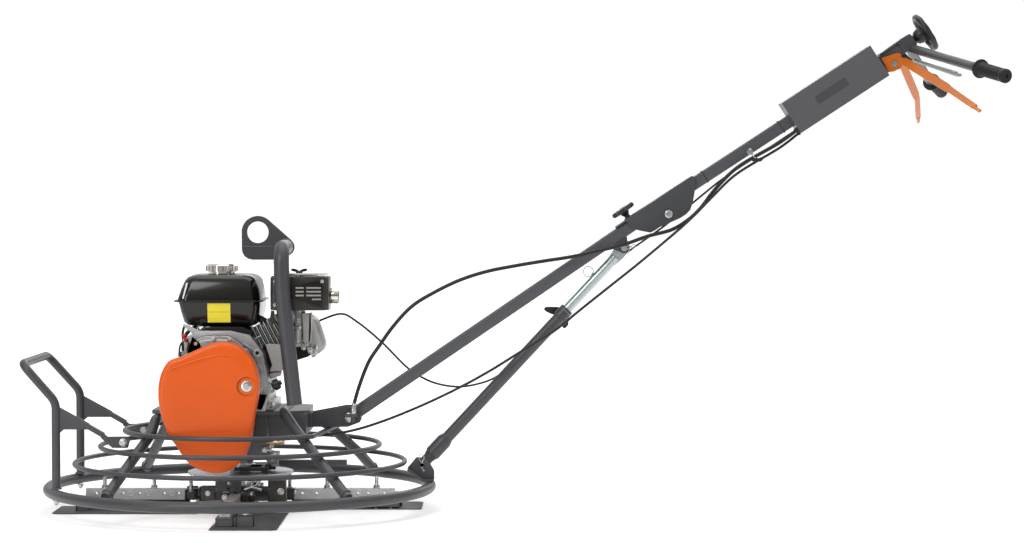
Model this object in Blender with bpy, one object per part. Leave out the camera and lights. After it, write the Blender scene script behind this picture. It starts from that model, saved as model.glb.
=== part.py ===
"""Walk-behind power trowel with a 0.91 m rotor, a small petrol engine and a folding handle.

Units are metres, +Z up. The machine stands on its four blades at Z = 0. The
rotor turns about a vertical axis; every length below is laid out from that
axis and the frame empty moves it so that the origin is the middle of the
machine's base. +X points along the handle, towards the operator.
"""

import math

import bmesh
import bpy
import numpy as np
from mathutils import Vector

for old in list(bpy.data.objects):
    bpy.data.objects.remove(old, do_unlink=True)

# ---------------------------------------------------------------- dimensions
ROTOR_X = -0.6391          # rotor axis, measured from the middle of the base
RING_R, RING_Z, RING_TUBE = 0.4615, 0.0540, 0.01345   # outer guard ring
ROD = 0.0060               # radius of the three upper guard rings
LOW_R, LOW_Z = 0.3985, 0.1140
MID_R, MID_Z = 0.3370, 0.1550
TOP_R, TOP_Z = 0.2780, 0.1930
LEG_TUBE = 0.0125
PLATE_Z0, PLATE_Z1 = 0.2360, 0.2460                    # engine mounting plate
ENGINE_Z = 0.2466                                      # engine feet
CRANK_X, CRANK_Z = -0.0430, 0.3515                     # engine shaft
WORM_X, WORM_Z = -0.0430, 0.1830                       # gearbox input shaft
BELT_Y = -0.2000                                       # belt plane
DRIVE_R, DRIVEN_R = 0.0330, 0.0660                     # pulley pitch radii, 1 : 2
RIM, GROOVE = 0.0030, 0.0075                           # rim above, groove below the pitch radius
WHEEL_TEETH = 20                                       # worm wheel, single-start worm
ARM_Z = 0.0355                                         # trowel arm axis
BLADE_IN, BLADE_OUT = 0.0850, 0.4400                   # along the arm
BLADE_LEAD, BLADE_TRAIL = -0.0300, 0.1250              # across the arm
BLADE_T = 0.0025
CYL_TILT = math.radians(18.0)                          # cylinder axis above the level
HANDLE_TILT = math.radians(34.23)
UPPER_TILT = math.radians(33.20)
HANDLE_PIVOT = (0.2670, 0.2237)                        # X, Z of the handle's lower pin
FOLD_PIN = (1.0370, 0.7150)
UPPER_START = (1.0370, 0.7475)
TUBE_N, TUBE_Y, WALL = 0.0150, 0.0200, 0.0025          # half depth, half width and wall of the handle tubes
STRUT_FOOT, STRUT_TOP = (0.4410, 0.1070), (0.9300, 0.6320)
CHEEK_Y0, CHEEK_Y1 = 0.0225, 0.0270
GAP = 0.0004

frame = bpy.data.objects.new("frame_origin", None)
frame.location = (ROTOR_X, 0.0, 0.0)
bpy.context.scene.collection.objects.link(frame)

# ---------------------------------------------------------------- materials
PALETTE = {
    "grey_paint": ((0.085, 0.087, 0.092), 0.42, 0.0),
    "orange_paint": ((0.82, 0.17, 0.025), 0.38, 0.0),
    "cast_alloy": ((0.55, 0.56, 0.57), 0.45, 0.9),
    "machined_steel": ((0.60, 0.61, 0.62), 0.30, 1.0),
    "blade_steel": ((0.42, 0.44, 0.46), 0.40, 1.0),
    "zinc": ((0.62, 0.70, 0.72), 0.35, 0.9),
    "chrome": ((0.80, 0.80, 0.81), 0.12, 1.0),
    "black_gloss": ((0.012, 0.012, 0.013), 0.18, 0.0),
    "black_plastic": ((0.016, 0.016, 0.017), 0.50, 0.0),
    "rubber": ((0.014, 0.014, 0.014), 0.75, 0.0),
    "black_sheet": ((0.018, 0.018, 0.019), 0.35, 0.2),
    "brass": ((0.65, 0.45, 0.16), 0.35, 1.0),
}


def material(key, name):
    colour, rough, metal = PALETTE[key]
    mat = bpy.data.materials.new(name)
    mat.use_nodes = True
    shader = mat.node_tree.nodes["Principled BSDF"]
    shader.inputs["Base Color"].default_value = (*colour, 1.0)
    shader.inputs["Roughness"].default_value = rough
    shader.inputs["Metallic"].default_value = metal
    mat.diffuse_color = (*colour, 1.0)
    return mat


# ---------------------------------------------------------------- shapes
def unit(v):
    v = np.asarray(v, float)
    return v / np.linalg.norm(v)


def box(lo, hi):
    x0, y0, z0 = lo
    x1, y1, z1 = hi
    v = [(x0, y0, z0), (x1, y0, z0), (x1, y1, z0), (x0, y1, z0),
         (x0, y0, z1), (x1, y0, z1), (x1, y1, z1), (x0, y1, z1)]
    f = [(3, 2, 1, 0), (4, 5, 6, 7), (0, 1, 5, 4), (1, 2, 6, 5), (2, 3, 7, 6), (3, 0, 4, 7)]
    return v, f


def prism(points, plane, a, b):
    """Outline points in a plane (XY, XZ or YZ) extruded from a to b along the third axis."""
    n = len(points)

    def place(p, h):
        u, w = p
        return {"XY": (u, w, h), "XZ": (u, h, w), "YZ": (h, u, w)}[plane]

    v = [place(p, a) for p in points] + [place(p, b) for p in points]
    f = [tuple(range(n - 1, -1, -1)), tuple(range(n, 2 * n))]
    f += [(i, (i + 1) % n, n + (i + 1) % n, n + i) for i in range(n)]
    return v, f


def frames_along(path, closed):
    """Tangent, side and up vector at each point, carried along without twist."""
    p = np.asarray(path, float)
    n = len(p)
    tangents = []
    for i in range(n):
        if closed:
            a, b = p[i] - p[i - 1], p[(i + 1) % n] - p[i]
        else:
            a = p[i] - p[i - 1] if i else p[1] - p[0]
            b = p[i + 1] - p[i] if i < n - 1 else p[-1] - p[-2]
        tangents.append(unit(unit(a) + unit(b)))
    start = np.array([0.0, 0.0, 1.0])
    if abs(tangents[0] @ start) > 0.9:
        start = np.array([0.0, 1.0, 0.0])
    side = unit(np.cross(start, tangents[0]))
    out = []
    for t in tangents:
        side = unit(side - (side @ t) * t)
        out.append((t, side, np.cross(t, side)))
    return p, out


def tube(path, r, n, closed=False, bore=None, phase=0.5):
    """Round bar along a path, or a pipe when bore is given. r may be one number or one per point."""
    p, fr = frames_along(path, closed)
    count = len(p)
    radii = [r] * count if np.isscalar(r) else list(r)
    v, f = [], []

    def rings(rad):
        base = len(v)
        for (t, s, u), c, rr in zip(fr, p, rad):
            for k in range(n):
                a = 2 * math.pi * (k + phase) / n
                v.append(tuple(c + rr * (math.cos(a) * s + math.sin(a) * u)))
        return base

    outer = rings(radii)
    last = count if closed else count - 1
    for i in range(last):
        j = (i + 1) % count
        for k in range(n):
            m = (k + 1) % n
            f.append((outer + i * n + k, outer + i * n + m, outer + j * n + m, outer + j * n + k))
    if closed:
        return v, f
    if bore is None:
        f.append(tuple(outer + k for k in range(n - 1, -1, -1)))
        f.append(tuple(outer + (count - 1) * n + k for k in range(n)))
        return v, f
    inner = rings([bore] * count)
    for i in range(count - 1):
        for k in range(n):
            m = (k + 1) % n
            f.append((inner + i * n + k, inner + (i + 1) * n + k, inner + (i + 1) * n + m, inner + i * n + m))
    for k in range(n):
        m = (k + 1) % n
        f.append((outer + k, inner + k, inner + m, outer + m))
        e = (count - 1) * n
        f.append((outer + e + k, outer + e + m, inner + e + m, inner + e + k))
    return v, f


def cyl(p0, p1, r, n=12, r1=None):
    return tube([p0, p1], [r, r if r1 is None else r1], n)


def lathe(profile, origin, axis, n, closed=False):
    """Profile of (radius, height) turned about an axis. closed joins the profile's ends, as for a ring."""
    axis = unit(axis)
    ref = np.array([1.0, 0, 0]) if abs(axis[0]) < 0.9 else np.array([0, 1.0, 0])
    s = unit(np.cross(axis, ref))
    u = np.cross(axis, s)
    o = np.asarray(origin, float)
    v, f, rows = [], [], []
    for r, h in profile:
        if r < 1e-9:
            rows.append([len(v)])
            v.append(tuple(o + h * axis))
        else:
            rows.append(list(range(len(v), len(v) + n)))
            for k in range(n):
                a = 2 * math.pi * k / n
                v.append(tuple(o + h * axis + r * (math.cos(a) * s + math.sin(a) * u)))
    pairs = list(zip(rows, rows[1:])) + ([(rows[-1], rows[0])] if closed else [])
    for a, b in pairs:
        for k in range(n):
            m = (k + 1) % n
            if len(a) == 1 and len(b) == 1:
                continue
            if len(a) == 1:
                f.append((a[0], b[m], b[k]))
            elif len(b) == 1:
                f.append((a[k], a[m], b[0]))
            else:
                f.append((a[k], a[m], b[m], b[k]))
    return v, f


def flat_bar(path, width, thick, up, widths=None):
    """Flat bar along a path: width lies along up, thickness across it."""
    p = np.asarray(path, float)
    n = len(p)
    v, f = [], []
    for i in range(n):
        a = p[i] - p[i - 1] if i else p[1] - p[0]
        b = p[i + 1] - p[i] if i < n - 1 else p[-1] - p[-2]
        t = unit(unit(a) + unit(b))
        w = unit(np.asarray(up, float) - (np.asarray(up, float) @ t) * t)
        s = np.cross(t, w)
        wide = (widths[i] if widths else width) / 2
        for a_, b_ in ((-1, -1), (1, -1), (1, 1), (-1, 1)):
            v.append(tuple(p[i] + a_ * wide * w + b_ * thick / 2 * s))
    for i in range(n - 1):
        for k in range(4):
            m = (k + 1) % 4
            f.append((4 * i + k, 4 * i + m, 4 * i + 4 + m, 4 * i + 4 + k))
    f.append((3, 2, 1, 0))
    e = 4 * (n - 1)
    f.append((e, e + 1, e + 2, e + 3))
    return v, f


def fillet(points, radius, steps):
    """The corners of a polyline rounded to a radius."""
    p = [np.asarray(q, float) for q in points]
    out = [p[0]]
    for i in range(1, len(p) - 1):
        r = radius[i - 1] if isinstance(radius, (list, tuple)) else radius
        a, b = unit(p[i - 1] - p[i]), unit(p[i + 1] - p[i])
        angle = math.acos(max(-1, min(1, a @ b)))
        if r <= 0 or angle > math.pi - 0.02:
            out.append(p[i])
            continue
        cut = r / math.tan(angle / 2)
        c = p[i] + unit(a + b) * (r / math.sin(angle / 2))
        s, e = p[i] + a * cut, p[i] + b * cut
        for k in range(steps + 1):
            t = k / steps
            m = s + (e - s) * t - c
            span = math.acos(max(-1, min(1, unit(s - c) @ unit(e - c))))
            if span < 1e-6:
                out.append(p[i])
                break
            d = (math.sin((1 - t) * span) * (s - c) + math.sin(t * span) * (e - c)) / math.sin(span)
            out.append(c + d)
    out.append(p[-1])
    return out


def circle(r, z, n, start=0.0, end=2 * math.pi, cx=0.0, cy=0.0):
    full = abs(end - start - 2 * math.pi) < 1e-9
    count = n if full else n + 1
    return [(cx + r * math.cos(start + (end - start) * k / n), cy + r * math.sin(start + (end - start) * k / n), z)
            for k in range(count)]


def along(origin, tilt, s, n, y=0.0):
    """Point at distance s along a member that rises at tilt in the XZ plane, n above its centre line."""
    return (origin[0] + s * math.cos(tilt) - n * math.sin(tilt), y, origin[1] + s * math.sin(tilt) + n * math.cos(tilt))


def slab(origin, tilt, pts, y0, y1):
    """Outline of (s, n) points along a tilted member, extruded from y0 to y1."""
    flat = [along(origin, tilt, s, n) for s, n in pts]
    return prism([(p[0], p[2]) for p in flat], "XZ", y0, y1)


def inset(points, d):
    """A polygon moved inwards by d."""
    p = [np.array(q, float) for q in points]
    n = len(p)
    area = sum(p[i][0] * p[(i + 1) % n][1] - p[(i + 1) % n][0] * p[i][1] for i in range(n))
    sign = 1.0 if area > 0 else -1.0
    out = []
    for i in range(n):
        a, b = unit(p[i] - p[i - 1]), unit(p[(i + 1) % n] - p[i])
        na, nb = np.array([-a[1], a[0]]) * sign, np.array([-b[1], b[0]]) * sign
        m = unit(na + nb)
        out.append(tuple(p[i] + m * d / max(0.5, m @ na)))
    return out


def smooth_route(points, spacing, most=80):
    """Points at even distances on a smooth curve through the route's own points."""
    p = [np.asarray(q, float) for q in points]
    p = [2 * p[0] - p[1]] + p + [2 * p[-1] - p[-2]]
    dense = []
    for i in range(1, len(p) - 2):
        a, b, c, d = p[i - 1], p[i], p[i + 1], p[i + 2]
        ta, tb, tc = (max(np.linalg.norm(b - a), 1e-6) ** 0.5, max(np.linalg.norm(c - b), 1e-6) ** 0.5,
                      max(np.linalg.norm(d - c), 1e-6) ** 0.5)
        m1 = tb * ((b - a) / ta - (c - a) / (ta + tb)) + (c - b)
        m2 = tb * ((d - c) / tc - (d - b) / (tb + tc)) + (c - b)
        for k in range(24):
            t = k / 24
            dense.append((2 * t ** 3 - 3 * t ** 2 + 1) * b + (t ** 3 - 2 * t ** 2 + t) * m1
                         + (-2 * t ** 3 + 3 * t ** 2) * c + (t ** 3 - t ** 2) * m2)
    dense.append(p[-2])
    dense = np.array(dense)
    run = np.concatenate([[0], np.cumsum(np.linalg.norm(np.diff(dense, axis=0), axis=1))])
    count = min(most, max(8, int(run[-1] / spacing)))
    at = np.linspace(0, run[-1], count)
    return [tuple(np.interp(at, run, dense[:, k])[i] for k in range(3)) for i in range(count)]


# ---------------------------------------------------------------- objects
helpers = []


def mesh_object(name, shape, pivot=(0.0, 0.0, 0.0)):
    v, f = shape
    mesh = bpy.data.meshes.new(name)
    mesh.from_pydata([tuple(np.asarray(q, float) - np.asarray(pivot, float)) for q in v], [], f)
    bm = bmesh.new()
    bm.from_mesh(mesh)
    bmesh.ops.recalc_face_normals(bm, faces=bm.faces)
    if bm.calc_volume(signed=True) < 0:
        bmesh.ops.reverse_faces(bm, faces=bm.faces)
    bm.to_mesh(mesh)
    bm.free()
    obj = bpy.data.objects.new(name, mesh)
    obj.parent = frame
    obj.location = pivot
    bpy.context.scene.collection.objects.link(obj)
    return obj


def part(name, shape, key, pivot=(0.0, 0.0, 0.0), add=(), cut=(), smooth=True):
    obj = mesh_object(name, shape, pivot)
    obj.data.materials.append(material(key, name))
    if smooth:
        obj.data.shade_smooth()
        obj.data.set_sharp_from_angle(angle=math.radians(35))
    for operation, shapes in (("UNION", add), ("DIFFERENCE", cut)):
        for i, extra in enumerate(shapes):
            tool = mesh_object(f"{name}_{operation.lower()}_{i + 1}", extra)
            tool.hide_render = True
            tool.display_type = "WIRE"
            helpers.append(tool)
            mod = obj.modifiers.new(f"{operation.lower()} {i + 1}", "BOOLEAN")
            mod.object = tool
            mod.operation = operation
            mod.solver = "EXACT"
    return obj


def cable(name, points, radius, key, spacing):
    curve = bpy.data.curves.new(name, "CURVE")
    curve.dimensions = "3D"
    curve.bevel_depth = radius
    curve.bevel_resolution = 2
    curve.use_fill_caps = True
    spline = curve.splines.new("POLY")
    route = smooth_route(points, spacing)
    spline.points.add(len(route) - 1)
    for q, p in zip(spline.points, route):
        q.co = (*p, 1.0)
    obj = bpy.data.objects.new(name, curve)
    obj.parent = frame
    curve.materials.append(material(key, name))
    bpy.context.scene.collection.objects.link(obj)
    return obj


# ================================================================ guard frame
part("outer_ring", tube(circle(RING_R, RING_Z, 48), RING_TUBE, 8, closed=True), "grey_paint")
part("guard_ring_lower", tube(circle(LOW_R, LOW_Z, 40), ROD, 6, closed=True), "grey_paint")
part("guard_ring_middle", tube(circle(MID_R, MID_Z, 36), ROD, 6, closed=True), "grey_paint")
# The top ring is closed on the handle side by a straight bar between the legs.
part("guard_ring_upper",
     tube(circle(TOP_R, TOP_Z, 26, math.radians(32), math.radians(313)), ROD, 6, closed=True), "grey_paint")

leg_left = fillet([(-0.2760, -0.3450, 0.0650), (-0.1980, -0.1445, 0.1930), (-0.1930, -0.1050, 0.2240),
                   (-0.1930, 0.1050, 0.2240), (-0.1980, 0.1445, 0.1930), (-0.2760, 0.3450, 0.0650)],
                  [0, 0.035, 0.035, 0], 4)
leg_right = fillet([(0.2808, -0.3394, 0.0620), (0.1588, -0.1826, 0.1930), (0.1150, -0.1180, 0.2430),
                    (0.1150, 0.1100, 0.2430), (0.2050, 0.1400, 0.1900), (0.2735, 0.2360, 0.1140),
                    (0.3075, 0.3160, 0.0620)],
                   [0, 0.035, 0.040, 0.060, 0.100], 4)
part("base_frame",
     prism([(-0.205, -0.075), (-0.150, -0.125), (0.120, -0.125), (0.170, -0.095),
            (0.170, 0.095), (0.120, 0.125), (-0.150, 0.125), (-0.205, 0.075)], "XY", PLATE_Z0, PLATE_Z1),
     "grey_paint",
     add=[tube(leg_left, LEG_TUBE, 8), tube(leg_right, LEG_TUBE, 8),
          box((0.0775, -0.1180, 0.1860), (0.1680, -0.1120, 0.2380)),
          box((0.0775, 0.1120, 0.1860), (0.1680, 0.1180, 0.2380)),
          box((0.1620, -0.1150, 0.1860), (0.1680, 0.1150, 0.2380))],
     cut=[tube(circle(RING_R, RING_Z, 48), RING_TUBE + 0.0008, 8, closed=True)])

# Front lifting handle: a bent tube on the outer ring, braced back to the legs.
POST_X, POST_Y = -0.4180, 0.1800
lift_path = fillet([(POST_X, -POST_Y, 0.0684), (POST_X, -POST_Y, 0.2720), (-0.4980, -POST_Y + 0.006, 0.3620),
                    (-0.4980, POST_Y - 0.006, 0.3620), (POST_X, POST_Y, 0.2720), (POST_X, POST_Y, 0.0684)],
                   [0.045, 0.026, 0.026, 0.045], 4)
gusset = [(-0.4100, 0.2610), (-0.3380, 0.2215), (-0.3380, 0.2073), (-0.3990, 0.2073), (-0.4100, 0.1980)]
part("front_lift_handle", tube(lift_path, 0.0108, 8), "grey_paint",
     add=[shape for side in (-1, 1) for shape in (
         prism(gusset, "XZ", side * POST_Y - 0.0025, side * POST_Y + 0.0025),
         flat_bar([(-0.3560, side * POST_Y, 0.2230), (-0.2860, side * POST_Y, 0.1830)], 0.014, 0.012, (0, 0, 1)),
         prism([(-0.2960, 0.1900), (-0.2500, 0.1905), (-0.2430, 0.1820), (-0.2480, 0.1640), (-0.2900, 0.1640)],
               "XZ", side * POST_Y - 0.0040, side * POST_Y + 0.0040))])

# ================================================================ gearbox
part("gearbox_housing", box((-0.0850, -0.1120, 0.1400), (0.0720, 0.1000, 0.2352)), "cast_alloy",
     add=[cyl((WORM_X, -0.1240, WORM_Z), (WORM_X, -0.1000, WORM_Z), 0.0240, 16)],
     cut=[cyl((0, 0, 0.1300), (0, 0, 0.2150), 0.0600, 20), cyl((0, 0, 0.2100), (0, 0, 0.2290), 0.0150, 12),
          cyl((WORM_X, -0.0800, WORM_Z), (WORM_X, 0.0780, WORM_Z), 0.0190, 12),
          cyl((WORM_X, -0.1300, WORM_Z), (WORM_X, 0.0900, WORM_Z), 0.0100, 12)])
PIVOT_X, PIVOT_Z = 0.0850, 0.1120
part("gearbox_cover",
     lathe([(0.0155, 0.1120), (0.0300, 0.1120), (0.0340, 0.1280), (0.0720, 0.1280), (0.0720, 0.1395), (0.0155, 0.1395)],
           (0, 0, 0), (0, 0, 1), 20, closed=True), "cast_alloy",
     add=[box((0.0600, -0.0160, 0.1285), (0.0950, 0.0160, 0.1390)),
          box((0.0760, -0.0160, 0.1030), (0.0940, -0.0105, 0.1330)),
          box((0.0760, 0.0105, 0.1030), (0.0940, 0.0160, 0.1330)),
          cyl((PIVOT_X, -0.0200, PIVOT_Z), (PIVOT_X, 0.0200, PIVOT_Z), 0.0040, 8)])

# Worm on the input shaft; the ridge is one turn every lead.
LEAD = 2 * math.pi * 0.0295 / WHEEL_TEETH


def worm():
    rows, v, f = [], [], []
    n, steps = 10, 22
    y0, y1 = -0.0300, 0.0300
    stations = [(-0.2140, 0.0090, 0), (y0 - 0.0020, 0.0090, 0)]
    stations += [(y0 + (y1 - y0) * k / steps, 0.0102, 0.0012) for k in range(steps + 1)]
    stations += [(y1 + 0.0020, 0.0090, 0), (0.0880, 0.0090, 0)]
    for y, r, ridge in stations:
        row = []
        for k in range(n):
            a = 2 * math.pi * k / n
            rr = r + ridge * math.cos(a - 2 * math.pi * y / LEAD)
            row.append(len(v))
            v.append((WORM_X + rr * math.cos(a), y, WORM_Z + rr * math.sin(a)))
        rows.append(row)
    for a, b in zip(rows, rows[1:]):
        f += [(a[k], a[(k + 1) % n], b[(k + 1) % n], b[k]) for k in range(n)]
    f.append(tuple(rows[0][::-1]))
    f.append(tuple(rows[-1]))
    return v, f


part("worm_shaft", worm(), "machined_steel", pivot=(WORM_X, 0, WORM_Z))

half_w, half_in, depth = 0.0072, 0.0038, RIM + GROOVE


def pulley(pitch, bore, centre, n, hub):
    top = pitch + RIM
    return lathe([(bore, -0.0110), (hub, -0.0110), (hub, -0.0095), (top, -0.0095), (top, -half_w), (top - depth, -half_in),
                  (top - depth, half_in), (top, half_w), (top, 0.0095), (hub, 0.0095), (hub, 0.0110), (bore, 0.0110)],
                 centre, (0, 1, 0), n, closed=True)


part("driven_pulley", pulley(DRIVEN_R, 0.0094, (WORM_X, BELT_Y, WORM_Z), 24, 0.0200), "machined_steel",
     pivot=(WORM_X, BELT_Y, WORM_Z))
part("drive_pulley", pulley(DRIVE_R, 0.0100, (CRANK_X, BELT_Y, CRANK_Z), 20, 0.0200), "machined_steel",
     pivot=(CRANK_X, BELT_Y, CRANK_Z))

# Belt: a loop round both pulleys with a tapered section.
centres = abs(CRANK_Z - WORM_Z)
lean = math.asin((DRIVEN_R - DRIVE_R) / centres)


def belt():
    v, f, rows = [], [], []
    stations = []
    for k in range(9):
        stations.append((CRANK_X, CRANK_Z, DRIVE_R, lean + (math.pi - 2 * lean) * k / 8))
    for k in range(13):
        stations.append((WORM_X, WORM_Z, DRIVEN_R, math.pi - lean + (math.pi + 2 * lean) * k / 12))
    for cx, cz, pitch, a in stations:
        top = pitch + RIM
        row = []
        for r, y in ((top - 0.0012, -0.0058), (top - 0.0012, 0.0058), (top - 0.0086, 0.0034), (top - 0.0086, -0.0034)):
            row.append(len(v))
            v.append((cx + r * math.cos(a), BELT_Y + y, cz + r * math.sin(a)))
        rows.append(row)
    for a, b in zip(rows, rows[1:] + rows[:1]):
        f += [(a[k], a[(k + 1) % 4], b[(k + 1) % 4], b[k]) for k in range(4)]
    return v, f


part("drive_belt", belt(), "rubber")

cover_outline = [(-0.1414, 0.3748), (-0.1180, 0.3819), (-0.0946, 0.3924), (-0.0712, 0.4029), (-0.0478, 0.4123),
                 (-0.0244, 0.4158), (-0.0010, 0.4135), (0.0224, 0.4029), (0.0458, 0.3795), (0.0575, 0.3561),
                 (0.0645, 0.3280), (0.0657, 0.3046), (0.0622, 0.2812), (0.0552, 0.2461), (0.0505, 0.2110),
                 (0.0435, 0.1759), (0.0341, 0.1525), (0.0177, 0.1291), (-0.0057, 0.1127), (-0.0361, 0.1057),
                 (-0.0712, 0.1127), (-0.0946, 0.1244), (-0.1133, 0.1431), (-0.1297, 0.1689), (-0.1461, 0.1923),
                 (-0.1601, 0.2227), (-0.1695, 0.2578), (-0.1730, 0.2859), (-0.1718, 0.3163), (-0.1648, 0.3444),
                 (-0.1531, 0.3655)]
cover_outline = cover_outline[::-1]
part("belt_cover", prism(cover_outline, "XZ", -0.2220, -0.1786), "orange_paint",
     cut=[prism(inset(cover_outline, 0.0025), "XZ", -0.2195, -0.1700)])
part("belt_cover_back", prism(inset(cover_outline, 0.0010), "XZ", -0.1780, -0.1756), "grey_paint",
     cut=[cyl((CRANK_X, -0.19, CRANK_Z), (CRANK_X, -0.16, CRANK_Z), 0.0300, 16),
          cyl((WORM_X, -0.19, WORM_Z), (WORM_X, -0.16, WORM_Z), 0.0180, 16)])

# ================================================================ rotor
part("output_shaft", lathe([(0, 0.0170), (0.0140, 0.0170), (0.0140, 0.2270), (0, 0.2270)], (0, 0, 0), (0, 0, 1), 12),
     "machined_steel")
teeth = []
for k in range(WHEEL_TEETH):
    for off, r in ((-0.30, 0.0268), (-0.16, 0.0300), (0.16, 0.0300), (0.30, 0.0268)):
        a = 2 * math.pi * (k + off) / WHEEL_TEETH
        teeth.append((r * math.cos(a), r * math.sin(a)))
part("worm_wheel", prism(teeth, "XY", WORM_Z - 0.0100, WORM_Z + 0.0100), "brass",
     cut=[cyl((0, 0, WORM_Z - 0.02), (0, 0, WORM_Z + 0.02), 0.0145, 12)])


def turned(shape, k):
    """The same shape a quarter turn further round the rotor for each k."""
    c, s = [(1, 0), (0, 1), (-1, 0), (0, -1)][k]
    return [(x * c - y * s, x * s + y * c, z) for x, y, z in shape[0]], shape[1]


part("rotor_spider",
     lathe([(0.0145, 0.0180), (0.0400, 0.0180), (0.0400, 0.0530), (0.0340, 0.0550), (0.0145, 0.0550)],
           (0, 0, 0), (0, 0, 1), 16, closed=True), "grey_paint",
     add=[turned(cyl((0, -0.0300, ARM_Z), (0, -0.1000, ARM_Z), 0.0185, 10), k) for k in range(4)],
     cut=[turned(cyl((0, -0.0430, ARM_Z), (0, -0.1100, ARM_Z), 0.0126, 10), k) for k in range(4)])

for k in range(4):
    pivot = turned(([(0, -0.1010, ARM_Z)], []), k)[0][0]
    part(f"trowel_arm_{k + 1}", turned(box((-0.0125, -0.3750, 0.0225), (0.0125, -0.1015, 0.0490)), k), "grey_paint",
         pivot=pivot,
         add=[turned(s, k) for s in (
             cyl((0, -0.1060, ARM_Z), (0, -0.0450, ARM_Z), 0.0119, 10),
             box((0.0060, -0.1260, 0.0260), (0.0460, -0.1060, 0.0440)),
             cyl((0.0380, -0.1160, 0.0400), (0.0380, -0.1160, 0.0835), 0.0045, 8),
             cyl((0, -0.2100, 0.0400), (0, -0.2100, 0.0780), 0.0050, 8),
             cyl((0, -0.3300, 0.0400), (0, -0.3300, 0.0780), 0.0050, 8))],
         smooth=False)
    part(f"blade_{k + 1}",
         turned(box((BLADE_LEAD, -BLADE_OUT, 0.0), (BLADE_TRAIL, -BLADE_IN, BLADE_T)), k), "blade_steel", pivot=pivot,
         add=[turned(box((-0.0200, -0.3850, 0.0010), (0.0200, -0.1250, 0.0220)), k)], smooth=False)

THRUST_Z = 0.0860
part("thrust_plate",
     lathe([(0.0152, THRUST_Z), (0.1280, THRUST_Z), (0.1280, THRUST_Z + 0.006), (0.0260, THRUST_Z + 0.006),
            (0.0260, THRUST_Z + 0.020), (0.0152, THRUST_Z + 0.020)], (0, 0, 0), (0, 0, 1), 20, closed=True),
     "machined_steel")
part("pitch_yoke", box((0.0520, -0.0400, 0.0945), (0.0700, 0.0400, 0.1035)), "grey_paint",
     pivot=(PIVOT_X, 0, PIVOT_Z),
     add=[box((-0.0120, -0.0400, 0.0946), (0.0600, -0.0300, 0.1034)), box((-0.0120, 0.0300, 0.0946), (0.0600, 0.0400, 0.1034)),
          box((0.0600, -0.0090, 0.0950), (0.0850, 0.0090, 0.1080)),
          cyl((PIVOT_X, -0.0095, PIVOT_Z), (PIVOT_X, 0.0095, PIVOT_Z), 0.0100, 12),
          box((0.0860, -0.0090, 0.1060), (0.2580, 0.0090, 0.1180))],
     cut=[cyl((PIVOT_X, -0.02, PIVOT_Z), (PIVOT_X, 0.02, PIVOT_Z), 0.0046, 8)], smooth=False)

# ================================================================ engine
neck_dir = (math.cos(math.radians(27)), 0, math.sin(math.radians(27)))


def neck(d, y=-0.1080):
    return (0.0500 + d * neck_dir[0], y, 0.2850 + d * neck_dir[2])


part("engine_block",
     prism([(-0.1250, ENGINE_Z), (0.0720, ENGINE_Z), (0.0820, 0.3000), (0.0660, 0.3860), (0.0350, 0.4280), (-0.0100, 0.4380),
            (-0.0900, 0.4380), (-0.1250, 0.4180)][::-1], "XZ", -0.1300, 0.1040), "cast_alloy",
     add=[cyl((CRANK_X, -0.1460, CRANK_Z), (CRANK_X, -0.1200, CRANK_Z), 0.0760, 20),
          box((-0.1300, -0.1000, ENGINE_Z + 0.0002), (0.0900, 0.1000, 0.2660)),
          cyl(neck(0.0), neck(0.0416), 0.0120, 10),
          slab((CRANK_X, CRANK_Z), CYL_TILT, [(0.07, -0.048), (0.1240, -0.048), (0.1240, 0.048), (0.07, 0.048)], -0.050, 0.050)],
     cut=[cyl((CRANK_X, -0.16, CRANK_Z), (CRANK_X, 0.12, CRANK_Z), 0.0135, 12),
          cyl(neck(-0.0300), neck(0.0500), 0.0050, 8)])
fins = [(0.1246, -0.046)]
for k in range(8):
    s = 0.1246 + 0.0112 * k
    fins += [(s, 0.062), (s + 0.0034, 0.062), (s + 0.0034, 0.044), (s + 0.0112, 0.044)]
fins += [(s + 0.0112, -0.046)]
s_end = s + 0.0112
under = []
for k in range(8):
    s = s_end - 0.0112 * k
    under += [(s, -0.040), (s - 0.0078, -0.040), (s - 0.0078, -0.054), (s - 0.0112, -0.054)]
fins = fins[1:-1] + under
part("cylinder_head", slab((CRANK_X, CRANK_Z), CYL_TILT, fins, -0.0580, 0.0580), "cast_alloy", smooth=False)
part("valve_cover",
     slab((CRANK_X, CRANK_Z), CYL_TILT,
          [(s_end + GAP, -0.050), (s_end + 0.010, -0.053), (s_end + 0.034, -0.040), (s_end + 0.041, -0.022),
           (s_end + 0.041, 0.028), (s_end + 0.030, 0.046), (s_end + 0.010, 0.053), (s_end + GAP, 0.050)],
          -0.0480, 0.0480), "cast_alloy")


def rounded(x0, x1, y0, y1, c, z):
    return [(x0 + c, y0, z), (x1 - c, y0, z), (x1, y0 + c, z), (x1, y1 - c, z),
            (x1 - c, y1, z), (x0 + c, y1, z), (x0, y1 - c, z), (x0, y0 + c, z)]


def loft(levels):
    v = [p for level in levels for p in level]
    n = len(levels[0])
    f = [tuple(range(n - 1, -1, -1)), tuple(range((len(levels) - 1) * n, len(levels) * n))]
    for i in range(len(levels) - 1):
        f += [(i * n + k, i * n + (k + 1) % n, (i + 1) * n + (k + 1) % n, (i + 1) * n + k) for k in range(n)]
    return v, f


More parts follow.
